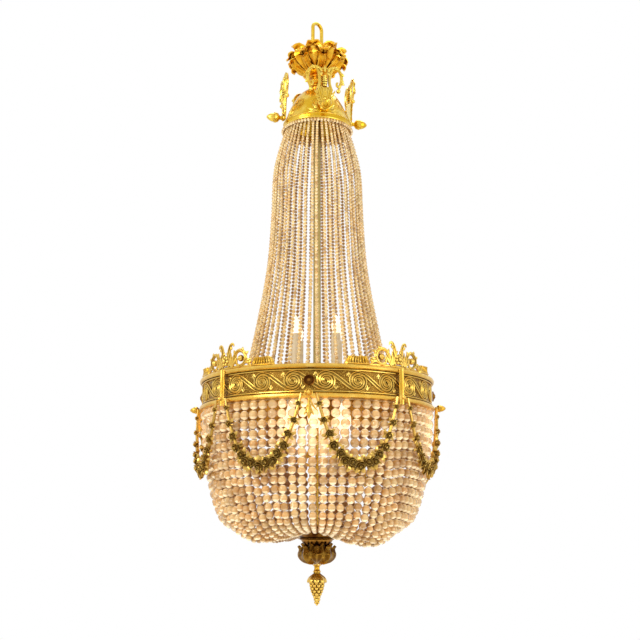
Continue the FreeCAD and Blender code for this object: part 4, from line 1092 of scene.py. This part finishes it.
def frieze_tree():
    """Round bars along drawn lines, Count times in a row, bent round the ring from First."""
    tree, keys, source, sink = geometry_tree("Frieze", [
        ("Count", INT, 6), ("Pitch", FLOAT, 0.06), ("Radius", FLOAT, 0.232), ("First", FLOAT, 0.0),
        ("Thickness", FLOAT, 0.0012), ("Material", MATERIAL)])
    curve = node(tree, "GeometryNodeMeshToCurve", {"Mesh": source["Geometry"]}).outputs["Curve"]
    ring = {"Resolution": 6, "Radius": source["Thickness"]}
    ring = node(tree, "GeometryNodeCurvePrimitiveCircle", ring).outputs["Curve"]
    tube = node(tree, "GeometryNodeCurveToMesh", {"Curve": curve, "Profile Curve": ring}).outputs["Mesh"]
    step = node(tree, "ShaderNodeCombineXYZ", {"X": source["Pitch"]}).outputs["Vector"]
    row = node(tree, "GeometryNodeMeshLine", {"Count": source["Count"], "Offset": step}).outputs["Mesh"]
    real = {"Geometry": on_points(tree, row, tube)}
    real = node(tree, "GeometryNodeRealizeInstances", real).outputs["Geometry"]
    place = node(tree, "GeometryNodeInputPosition").outputs["Position"]
    drawn = node(tree, "ShaderNodeSeparateXYZ", {"Vector": place}).outputs
    start = times(tree, source["First"], math.pi / 180)
    angle = maths(tree, "ADD", maths(tree, "DIVIDE", drawn["X"], source["Radius"]), start)
    reach = maths(tree, "SUBTRACT", source["Radius"], drawn["Y"])
    bent_y = times(tree, times(tree, reach, maths(tree, "COSINE", angle)), -1.0)
    bent = {"X": times(tree, reach, maths(tree, "SINE", angle)), "Y": bent_y, "Z": drawn["Z"]}
    bent = node(tree, "ShaderNodeCombineXYZ", bent).outputs["Vector"]
    move = node(tree, "GeometryNodeSetPosition", {"Geometry": real, "Position": bent})
    finish_tree(tree, move.outputs["Geometry"], source, sink)
    return tree, keys


FRIEZE_TREE, FRIEZE_KEYS = frieze_tree()


def frieze(name, lines, out, first, thickness):
    """lines are drawn flat as (along, up) lists; out is how far they stand from the ground."""
    points, edges = [], []
    for line in lines:
        start = len(points)
        points += [(u, -out, w + FRIEZE_Z) for u, w in line]
        edges += [(start + k, start + k + 1) for k in range(len(line) - 1)]
    base = bare(name, points, edges)
    return grown(name, base, FRIEZE_TREE, FRIEZE_KEYS, 60.0, Count=WAVES_EACH, Pitch=WAVE_PITCH * MM,
                 Radius=GROUND_RADIUS * MM, First=first, Thickness=thickness * MM, Material=ANTIQUE)


def leaf_fill():
    """The small leaves that fill the corners above and below where the ribbon crosses over."""
    lines = []
    for u0, sign in ((0.30, -1), (0.70, 1)):
        root = (WAVE_PITCH * u0, sign * FILL_ROOT)
        for reach, lean in ((7.0, -35), (8.5, 0), (7.0, 35)):
            a = math.radians(lean)
            lines.append([root] + [(root[0] + far * math.sin(a), root[1] - sign * far * math.cos(a))
                                   for far in (reach * 0.5, reach)])
    return lines


scroll = wave_line()
edges = [side_line(scroll, side, 2.7) for side in (-1, 1)]
for k in range(4):
    first = 90.0 * k - 45.0 + 180.0 / WAVES
    parts = [frieze("scroll_edge", edges, 1.6, first, 1.35),
             frieze("scroll_body", [scroll], -1.2, first, 3.0),
             frieze("scroll_fill", leaf_fill(), 0.6, first, 1.2)]
    dress(melted("scroll_relief_%d" % (k + 1), parts, ANTIQUE), "antique_brass", "scroll_frieze_%d" % (k + 1))

# %% [markdown]
# ## On the ring's edges
# Upright straps cover the joints. Above each stands a bow of ribbon with a rosette, and
# between the bows pairs of low fluted shells.

# %% Straps, bows and shells
STRAP_ANGLE, CREST_RADIUS = 45.0, 230.5
STRAP = [(-6, 0), (-6, 1.6), (-4.6, 2.2), (-3.6, 4.2), (-1.6, 5.6), (0, 6), (1.6, 5.6), (3.6, 4.2),
         (4.6, 2.2), (6, 1.6), (6, 0)]
straps = loft([[Vector((u, -RING_FACE - d, z)) for u, d in STRAP] for z in (-870, -867, -832, -804, -802)])
cast("joint_straps", all_round(straps, 4, STRAP_ANGLE), ANTIQUE, "antique_brass", "corner_straps", edge=45.0)

HORN = [(3, 8), (8, 25), (11, 38), (15, 46.5), (20, 47.5), (23, 43)]
LOOP = [(24, 8), (25, 22), (31, 31), (41, 33), (50, 27), (53, 17), (48, 7), (38, 4), (31, 8), (31, 15),
        (35, 19)]
BOW_STRIPS = ((HORN, [4.8, 4.4, 3.6, 3.2, 2.6, 1.4], 3.0),
              ([(u - 0.5, w) for u, w in HORN[:4]], [1.3, 1.3, 1.1, 0.8], 6.2),
              (LOOP, [3.4, 3.8, 3.8, 3.8, 3.8, 3.6, 3.4, 3.0, 2.6, 2.2, 1.2], 2.6),
              (LOOP[:8], [1.0, 1.2, 1.2, 1.2, 1.2, 1.1, 1.0, 0.8], 5.6),
              ([(50, 9), (57, 9), (62, 5), (66, 1.4)], [3.2, 3.2, 2.6, 1.0], 2.4),
              ([(0, 3), (20, 3), (45, 2.4), (66, 1.4)], [3.0, 2.6, 2.2, 1.2], 1.6))
BOW_LEAVES = ((15, 4, 2, 27), (17, 4, 18, 28), (19, 3, 34, 24), (13, 6, -8, 20), (28, 24, -20, 12),
              (52, 24, 55, 10), (45, 31, 15, 8), (54, 12, 80, 12), (60, 6, 50, 9), (9, 27, -50, 9),
              (12, 38, 70, 8), (8, 4, 20, 12))
ROSETTE_UP, ROSETTE_REACH, PETALS = 16, 7.0, 7


def bent(shape, radius):
    """Wraps a flat drawn shape round the stem, so that it keeps its length along the ring."""
    return [at(radius - p.y, math.degrees(p.x / radius), p.z) for p in shape[0]], shape[1]


def bow_shape():
    """Drawn 134 across and 50 up: two horns and a rosette between looped wings with bosses."""
    shapes = [two_sided(strip(*one)) for one in BOW_STRIPS]
    shapes += [two_sided(knob(41, 18, 6.4, 2.0)), two_sided(knob(41, 18, 3.0, 6.2))]
    for n in range(PETALS):
        a = 2 * math.pi * n / PETALS
        across, up = ROSETTE_REACH * math.sin(a), ROSETTE_UP + ROSETTE_REACH * math.cos(a)
        shapes.append(knob(across, up, 4.0, 4.6, 10))
    shapes.append(knob(0, ROSETTE_UP, 4.6, 6.6))
    shapes += [two_sided(sprig(*place, [1.8, 3.2, 0.6], 3.6)) for place in BOW_LEAVES]
    return joined(shapes)


bow = bent(bow_shape(), CREST_RADIUS)
for k in range(4):
    stood = shifted(turned(bow, STRAP_ANGLE + 90 * k), z=RING_TOP)
    cast("ring_bow_%d" % (k + 1), stood, ANTIQUE, "antique_brass", "ring_crest_%d" % (k + 1))

SHELL_ROWS = ((0, 1.0, 7.0), (2.0, 1.0, 8.6), (4.0, 0.98, 6.8), (9, 0.9, 6.2), (14, 0.80, 7.2),
              (15.6, 0.76, 8.2))
SHELL_HALF, SHELL_BACK = 25, 1.2


def shell_shape():
    """Flutes fan from the foot, and the top edge is a row of small arches."""
    loops, across = [], 60
    for height, shrink, deep in SHELL_ROWS:
        front, rear = [], []
        for c in range(across + 1):
            u = 2 * c / across - 1
            flute = abs(math.cos(math.pi * 4.5 * u))
            high = height * (0.86 + 0.14 * flute) if height > 10 else height
            end = max(1 - abs(u) ** 6, 0.15)
            swell = deep - SHELL_BACK - 2.4 * (1 - flute) * (height > 3)
            front.append(Vector((u * SHELL_HALF * shrink, -(SHELL_BACK + swell * end), high)))
            rear.append(Vector((u * SHELL_HALF * shrink, 0, high)))
        loops.append(front + rear[::-1])
    return loft(loops)


shells = ring_of_pieces("shell_edging", standing(shell_shape(), 230.0, 0, RING_TOP), 8, 22.5, ANTIQUE, 50.0)
dress(shells, "antique_brass", "fluted_shells")

# %% [markdown]
# ## Screws and ribbon drops
# A round-headed screw on each strap holds the ends of two garlands. Under each ring acorn hangs
# a drop: a long leaf with smaller ones at its sides, and one ribbon end that strays off.

# %% Screws and ribbon drops
SCREW = [(0, 0), (4, 0), (4, 1.0), (3.3, 2.6), (1.8, 3.7), (0, 4)]
heads = all_round(outward(lathe(SCREW, 20), 246.6, SCREW_Z), 4, STRAP_ANGLE)
cast("garland_screws", heads, ANTIQUE, "antique_brass", "swag_screws")


def drop_shape():
    shapes = [strip([(0, 0), (0, -10), (0, -22), (0, -32), (0, -42)], [1.8, 2.2, 3.0, 4.2, 0.6], 2.2),
              strip([(1.5, -3), (4, -10), (7, -17), (12, -23), (17, -27)], [1.4, 1.6, 1.8, 1.4, 0.5], 1.8)]
    for side in (-1, 1):
        for low, reach, tip in ((-20, 6, -30), (-26, 9, -35), (-14, 4, -22)):
            line = [(0, low), (side * reach * 0.6, low - 3), (side * reach, tip)]
            shapes.append(strip(line, [1.6, 2.2, 0.5], 2.0))
    return joined(shapes)


drops = all_round(standing(drop_shape(), RING_FACE, 0, -862.0), 4)
cast("ribbon_leaves", drops, ANTIQUE, "antique_brass", "ribbon_drops")

# %% [markdown]
# ## A tree for roses and leaves
# The garlands are a stem with roses and leaves set along it. The script marks places along the
# stem with a size and a turn, and a node tree puts a copy of the form on every place. Roses and
# leaves are laid by two passes of the same tree.

# %% The tree that sets forms on places
def places_tree():
    tree, keys, source, sink = geometry_tree("Forms on places", [("Form", OBJECT), ("Material", MATERIAL)])
    form = node(tree, "GeometryNodeObjectInfo", {"Object": source["Form"]}).outputs["Geometry"]
    turn = named(tree, "turn", "FLOAT_VECTOR")
    put = on_points(tree, source["Geometry"], form, Rotation=turn, Scale=named(tree, "size"))
    finish_tree(tree, put, source, sink)
    return tree, keys


PLACES_TREE, PLACES_KEYS = places_tree()


def forms(name, form, places, material):
    """places holds (point, size, direction the form's own upright axis takes, spin)."""
    base = bare(name, [p for p, size, way, spin in places])
    number_on_points(base, "size", [size for p, size, way, spin in places])
    layer = base.data.attributes.new("turn", "FLOAT_VECTOR", "POINT")
    turns = []
    for p, size, way, spin in places:
        lean = Vector((0, 0, 1)).rotation_difference(Vector(way).normalized())
        turns += list((lean @ Matrix.Rotation(spin, 3, "Z").to_quaternion()).to_euler())
    layer.data.foreach_set("vector", turns)
    return grown(name, base, PLACES_TREE, PLACES_KEYS, 50.0, Form=form, Material=material)


# Each ring of petals: how many, how far out, how high, how large, and how far folded up.
PETAL_RINGS = ((3, 0.26, 0.50, 0.36, 75), (5, 0.50, 0.26, 0.44, 52), (5, 0.66, 0.0, 0.5, 26))


def rose_shape():
    """An open rose, 1 mm across its radius: rings of cupped petals round a bud."""
    shapes = [lathe([(0, 0.74), (0.14, 0.68), (0.2, 0.5), (0.3, 0.2), (0, 0.1)], 8)]
    petal = lathe([(0, -0.08), (0.7, 0.02), (1.0, 0.36), (0.92, 0.42), (0.55, 0.14), (0, 0.06)], 6)
    for count, reach, high, size, fold in PETAL_RINGS:
        for n in range(count):
            a = 2 * math.pi * (n + 0.37 * count) / count
            foot = Matrix.Translation((reach * math.sin(a), -reach * math.cos(a), high))
            fold_in = Matrix.Rotation(-math.radians(fold), 4, "X")
            shapes.append(placed(petal, foot @ Matrix.Rotation(a, 4, "Z") @ fold_in @ Matrix.Scale(size, 4)))
    return joined(shapes)


def leaf_shape():
    """A small curled leaf, 1 mm long, lying along its own upright axis."""
    line = [Vector((0, -0.02 - 0.16 * math.sin(math.pi * t), t)) for t in (0, 0.2, 0.4, 0.6, 0.8, 1.0)]
    return bar(line, [0.08, 0.30, 0.36, 0.26, 0.22, 0.02], 6, flat=0.3, face=(0, -1, 0))


def form_of(name, shape):
    """The form is kept in millimetres so that a place's size is a plain millimetre figure."""
    made = piece(name, shape, BRONZE, 50.0)
    bpy.context.scene.collection.objects.unlink(made)
    return made


rose, small_leaf = form_of("rose", rose_shape()), form_of("small leaf", leaf_shape())
print("forms for the garlands:", rose.name, "and", small_leaf.name)

# %% [markdown]
# ## The garlands
# Eight garlands hang between the screws on the straps and the acorns under the bosses. A stem
# follows a curve that falls steeply at the ends and is round in the middle. The roses grow
# towards the middle, where the real ones are largest, and every rose has four leaves behind it.

# %% Garlands
ROSES, ROSE_REACH, STEM_STEPS = 15, 0.94, 40
GARLAND_OUT, GARLAND_FALL, GARLAND_MARGIN = 243.8, 128.0, 3.2


def garland_point(first, x):
    """A place on the garland's stem; x runs from -1 at one end to 1 at the other."""
    fall = 1 - abs(x) ** 2.6
    angle = first + GARLAND_MARGIN + (45 - 2 * GARLAND_MARGIN) * (x + 1) / 2
    return at(GARLAND_OUT - 6.0 * fall**3, angle, SCREW_Z - GARLAND_FALL * fall), angle


def garland_stem(first):
    shares = [2 * k / STEM_STEPS - 1 for k in range(STEM_STEPS + 1)]
    line = [garland_point(first, x)[0] for x in shares]
    return bar(line, [2.6 + 1.4 * (1 - abs(x) ** 3) for x in shares], 8)


def garland(number, chance):
    first = 45.0 * number
    roses, leaves = [], []
    for k in range(ROSES):
        share = 2 * k / (ROSES - 1) - 1
        x = math.copysign(ROSE_REACH * abs(share) ** 0.8, share)
        place, angle = garland_point(first, x)
        full = 1 - abs(x) ** 3
        out = at(1, angle, 0)
        ahead = (garland_point(first, min(x + 0.03, 1))[0] - place).normalized()
        across = out.cross(ahead)
        sway = (-1) ** k * 2.0 * full
        size = 3.8 + 6.8 * full * chance.uniform(0.85, 1.05)
        way = out + across * (0.10 * sway + chance.uniform(-0.2, 0.2)) + Vector((0, 0, -0.25))
        roses.append((place + across * sway + out * (1.5 + full), size, way, chance.uniform(0, FULL_TURN)))
        for side in (-1, 1):
            foot = place + across * side * 3.5 * full - out * 0.5
            for lean_ahead in (0.8, -0.5):
                lean = across * side + ahead * (lean_ahead + chance.uniform(-0.3, 0.3)) + out * 0.1
                leaves.append((foot, 8.0 + 7.5 * full, lean, chance.uniform(-0.6, 0.6)))
    low, angle = garland_point(first, 0.0)
    leaves.append((low + Vector((0, 0, -6.0)), 14.0, Vector((0, 0, -1)) + at(0.3, angle, 0), 0.0))
    parts = [piece("garland_stem", garland_stem(first), BRONZE), forms("garland_roses", rose, roses, BRONZE),
             forms("garland_leaves", small_leaf, leaves, BRONZE)]
    return melted("garland_%d" % (number + 1), parts, BRONZE)


chance = random.Random(5)
for number in range(8):
    dress(garland(number, chance), "dark_bronze", "swag_%d" % (number + 1))

# %% [markdown]
# ## Inside: arms, plate and hoops
# Four flat arms carry the ring on the stem, with a plate for the candle cups on top. Two hoops
# carry the tent's strings, one in the crown's rim and one on the arms.

# %% Arms and plate
ARM_TOP, ARM_UNDER, PLATE_TOP = -799, -805, -797


def arm_outline():
    outline = []
    for k in range(4):
        middle = STRAP_ANGLE + 90.0 * k
        for radius, lean in ((40, -9.0), (60, -5.6), (226, -1.52), (226, 1.52), (60, 5.6), (40, 9.0)):
            outline.append((radius, middle + lean))
        outline += [(38, middle + 22), (37, middle + 45), (38, middle + 68)]
    return outline


arms = loft([[at(r, a, z) for r, a in arm_outline()] for z in (ARM_UNDER, ARM_TOP)])
cast("arm_cross", arms, ANTIQUE, "antique_brass", "spider", edge=30.0)
plate_edge = [(STEM_HOLE, ARM_TOP), (72, ARM_TOP), (74, -798.4), (74, -797.6), (73, PLATE_TOP),
              (STEM_HOLE, PLATE_TOP)]
turning("cup_plate", plate_edge, 64, ANTIQUE, "antique_brass", "lamp_plate", closed=True)
bolts = all_round(shifted(hex_nut(ARM_TOP, 9.0, 4.0), y=-220.0), 4, STRAP_ANGLE)
cast("arm_bolts", bolts, STEEL, "plain_steel", "arm_screws", edge=25.0)
hoop = [(56.8, TENT_TOP_Z), (70.7, TENT_TOP_Z), (70.7, TENT_TOP_Z + 4), (56.8, TENT_TOP_Z + 4)]
turning("upper_hoop", hoop, 64, ANTIQUE, "antique_brass", "crown_carrier", closed=True)
hoop = [(141, ARM_TOP), (155, ARM_TOP), (155, TENT_FOOT_Z), (141, TENT_FOOT_Z)]
turning("lower_hoop", hoop, 96, ANTIQUE, "antique_brass", "tent_carrier", closed=True)

# %% [markdown]
# ## The lamps
# Four candle tubes stand on the plate inside the tent, each in a cup and with a flame-shaped
# bulb, and four lower lamps hang inside the basket. They show faintly between the strings, so
# their shapes are plain turned outlines.

# %% Candle lamps and lower lamps
CANDLE_OUT, LOWER_OUT = 58.0, 54.0
CANDLE_CUP = [(0, PLATE_TOP), (9, PLATE_TOP), (9, -796), (6, -794.5), (5.6, -793), (10, -791.4),
              (14.6, -788.6), (17, -785.6), (16.2, -785), (11, -789.6), (10.5, -790), (0, -790)]
SLEEVE = [(0, -790), (9.5, -790), (9.5, -708), (8.8, -706.2), (0, -706)]
FLAME = [(0, -706), (6, -706), (6, -702), (7.4, -699), (8.8, -694), (9, -690), (8.2, -685), (6.2, -679),
         (3.6, -673), (1.6, -669), (0, -667)]
SOCKET = [(0, ARM_TOP), (12, ARM_TOP), (12, -805), (11, -806.5), (9, -808), (8.4, -809), (8.4, -845),
          (0, -845)]
GLOBE = [(0, -845), (6.5, -845), (6.8, -851), (9, -858), (13, -865), (15.6, -873), (16, -881), (14.4, -889),
         (11, -895.4), (6, -899.8), (0, -901)]
LAMP_PARTS = (
    ("wax_cups", CANDLE_CUP, CANDLE_OUT, 32, 45.0, ANTIQUE, "antique_brass", "candle_cups", 30.0),
    ("candle_tubes", SLEEVE, CANDLE_OUT, 32, 45.0, WAX, "candle_cream", "candle_sleeves", 40.0),
    ("candle_bulbs", FLAME, CANDLE_OUT, 20, 45.0, LAMP, "lamp_glass", "flame_bulbs", 60.0),
    ("lamp_holders", SOCKET, LOWER_OUT, 28, 0.0, HOLDER, "lampholder", "lower_sockets", 30.0),
    ("globe_bulbs", GLOBE, LOWER_OUT, 28, 0.0, LAMP, "lamp_glass", "lower_bulbs", 60.0))
for name, outline, out, sides, first, material, slot, replaced, edge in LAMP_PARTS:
    four = all_round(shifted(lathe(outline, sides), y=-out), 4, first)
    cast(name, four, material, slot, replaced, edge=edge)

# %% [markdown]
# ## Rod, hub and leaf cup
# A thin rod runs down the middle of the basket to a dark funnel that gathers the strings.
# Under it is a brown cup with two rings of leaves round it.

# %% Rod, hub and leaf cup
ROD_FOOT, FUNNEL_FOOT, CUP_FOOT = -1091, -1119, -1166
ROD = [(0, TUBE_END), (7.6, TUBE_END), (8, -822), (8, -824), (3.5, -826), (3.5, ROD_FOOT), (0, ROD_FOOT)]
FUNNEL = [(0, ROD_FOOT), (58, ROD_FOOT), (59, -1092), (59, -1093.2), (58, -1094), (51, -1094), (49, -1098),
          (47.4, -1102.5), (41, -1108), (35.6, -1112), (33.6, -1114.6), (35, -1116), (35.2, -1117.6),
          (33, FUNNEL_FOOT), (0, FUNNEL_FOOT)]
CONE = [(0, FUNNEL_FOOT), (32, FUNNEL_FOOT), (29, -1124), (22, -1134), (19, -1143), (23, -1150), (22, -1157),
        (11, -1165), (0, CUP_FOOT)]
CUP_SPINE = [(12, -1165), (26, -1161), (34.5, -1154), (37, -1147), (35.6, -1141), (35.4, -1136),
             (38.6, -1131.5)]
BACK_SPINE = [(11, -1164), (23, -1159), (31, -1152), (33.5, -1144), (32, -1137), (31.5, -1131),
              (34.5, -1126.5)]
turning("basket_rod", ROD, 24, ANTIQUE, "antique_brass", "centre_rod")
turning("hub_turning", FUNNEL, 64, BROWN, "brown_brass", "hub_funnel")
turning("cup_cone", CONE, 48, BROWN, "brown_brass")
front_leaf = leaf(CUP_SPINE, 13.5, 3, 2.4, 3.0, 1.6, 24, 8, 0.55, 0.42, 1.0, 0.16)
back_leaf = leaf(BACK_SPINE, 10.0, 3, 2.0, 2.0, 1.4, 20, 6, 0.5, 0.4, 1.0, 0.16)
cup_parts = [ring_of_pieces("cup_leaf", front_leaf, 8, 3.0, LEAFED),
             ring_of_pieces("cup_back", back_leaf, 8, 25.5, LEAFED)]
dress(melted("cup_leaves", cup_parts, LEAFED), "brown_brass", "hub_leaf_cup")

# %% [markdown]
# ## The finial
# The lowest piece is a turned stem with small leaves over a bunch of grapes. The grapes are set
# in rows round a cone, every second row turned by half a step, so that they sit in the gaps of
# the row above.

# %% Finial
FINIAL = [(0, CUP_FOOT), (8.2, CUP_FOOT), (8.4, -1168), (5.6, -1170.4), (5.2, -1174), (6.2, -1178),
          (7.6, -1179.6), (7.8, -1181.6), (6, -1183), (5.8, -1185), (9, -1189), (12, -1196), (11, -1210),
          (7, -1228), (3, -1240), (0, -1243)]
FINIAL_LEAF = [(5.6, -1184), (9.5, -1187), (14.5, -1190.5), (18.0, -1195), (19.4, -1199.5), (17.6, -1202.5)]
GRAPE_ROWS, GRAPE_TOP_Z, GRAPE_STEP, GRAPE_RING, GRAPE = 8, -1202.0, 5.4, 12.0, 8.6
grapes = []
for row in range(GRAPE_ROWS):
    around = GRAPE_RING * (1 - (row / 8.4) ** 1.3)
    count = max(1, int(2 * math.pi * around / 7.4))
    for n in range(count):
        place = at(around, 360.0 * (n + 0.5 * (row % 2)) / count, GRAPE_TOP_Z - GRAPE_STEP * row)
        grapes.append((place, GRAPE - 0.38 * row))
grapes.append((Vector((0, 0, -1243.4)), 4.8))
small_leaves = leaf(FINIAL_LEAF, 6.4, 2, 1.0, 1.0, 1.2, 12, 4)
finial_parts = [piece("finial_stem", lathe(FINIAL, 32), ANTIQUE),
                ring_of_pieces("finial_leaf", small_leaves, 8, 0.0, BRIGHT),
                beads("finial_grapes", grapes, BRIGHT, 3, 10, 8)]
dress(melted("finial_fruit", finial_parts, ANTIQUE), "bright_gilt", "finial")

# %% [markdown]
# ## Floor, light and camera
# The lamp hangs over a pale floor in a white room. Large soft lights stand to both sides and
# above. The background is white to the camera, to reflections and through glass, by the
# world's Light Path, while the light that it gives the lamp stays gentle and warm.

# %% Floor and backdrop light
FLOOR_Z, FLOOR_HALF = -2300.0, 9000.0


def seen_directly(tree):
    """1 for rays from the camera, off gloss and through glass, and 0 for the others."""
    path = node(tree, "ShaderNodeLightPath").outputs
    seen = maths(tree, "MAXIMUM", path["Is Camera Ray"], path["Is Glossy Ray"])
    return maths(tree, "MAXIMUM", seen, path["Is Transmission Ray"])


def floor_material():
    made, tree, shader = material_of("pale floor")
    tone = mixed(tree, noise(tree, object_place(tree), 3.0), (0.90, 0.90, 0.89), (0.94, 0.94, 0.93))
    feed(tree, shader, {"Base Color": tone, "Roughness": 0.9, "Emission Color": tone,
                        "Emission Strength": times(tree, seen_directly(tree), 0.35)})
    return made


corners = [Vector((x * FLOOR_HALF, y * FLOOR_HALF, FLOOR_Z)) for x, y in ((-1, -1), (1, -1), (1, 1), (-1, 1))]
floor = piece("floor", (corners, [(0, 1, 2, 3)]), floor_material())

world = bpy.data.worlds.new("white room")
bpy.context.scene.world = world
world.use_nodes = True
tree = world.node_tree
seen = seen_directly(tree)
feed(tree, tree.nodes["Background"], {"Strength": maths(tree, "ADD", times(tree, seen, 0.5), 0.5),
                                      "Color": mixed(tree, seen, (1.0, 0.88, 0.68), (1, 1, 1))})


def area_light(name, place, aim, size, power, colour):
    data = bpy.data.lights.new(name, "AREA")
    data.shape, data.size, data.energy, data.color = "SQUARE", size, power, colour
    made = in_scene(name, data)
    made.location = place
    made.rotation_euler = (Vector(aim) - Vector(place)).to_track_quat("-Z", "Y").to_euler()


area_light("key", (-1.9, -2.3, 0.4), (0, 0, -0.6), 1.2, 46.0, (1.0, 0.95, 0.86))
area_light("fill", (2.4, -1.6, -0.6), (0, 0, -0.7), 1.6, 22.0, (1.0, 0.97, 0.92))
area_light("from above", (0.2, 0.8, 1.6), (0, 0, -0.6), 1.5, 30.0, (1.0, 0.96, 0.9))
print("stage set")

# %% [markdown]
# ## The camera
# The camera stands where the photograph was taken: a little over two metres away, below the
# ring, looking up. Its lens and height were fitted to the ring's, the crown's and the
# basket's outlines.

# %% Camera
CAMERA_AZIMUTH, CAMERA_DISTANCE, CAMERA_Z = 3.5, 2.1216, -1.1202
CAMERA_PITCH, CAMERA_YAW, FOCAL_PX, IMAGE_PX, SENSOR = 12.0, 0.166, 1038.0, 640.0, 36.0
data = bpy.data.cameras.new("camera")
data.sensor_width = SENSOR
data.lens = FOCAL_PX / IMAGE_PX * SENSOR
camera = in_scene("camera", data)
turn = math.radians(CAMERA_AZIMUTH)
camera.location = (CAMERA_DISTANCE * math.sin(turn), -CAMERA_DISTANCE * math.cos(turn), CAMERA_Z)
camera.rotation_euler = (math.radians(90 + CAMERA_PITCH), 0, math.radians(CAMERA_AZIMUTH - CAMERA_YAW))
bpy.context.scene.camera = camera
bpy.context.scene.view_settings.view_transform = "Standard"
print("lens", round(data.lens, 2), "mm")
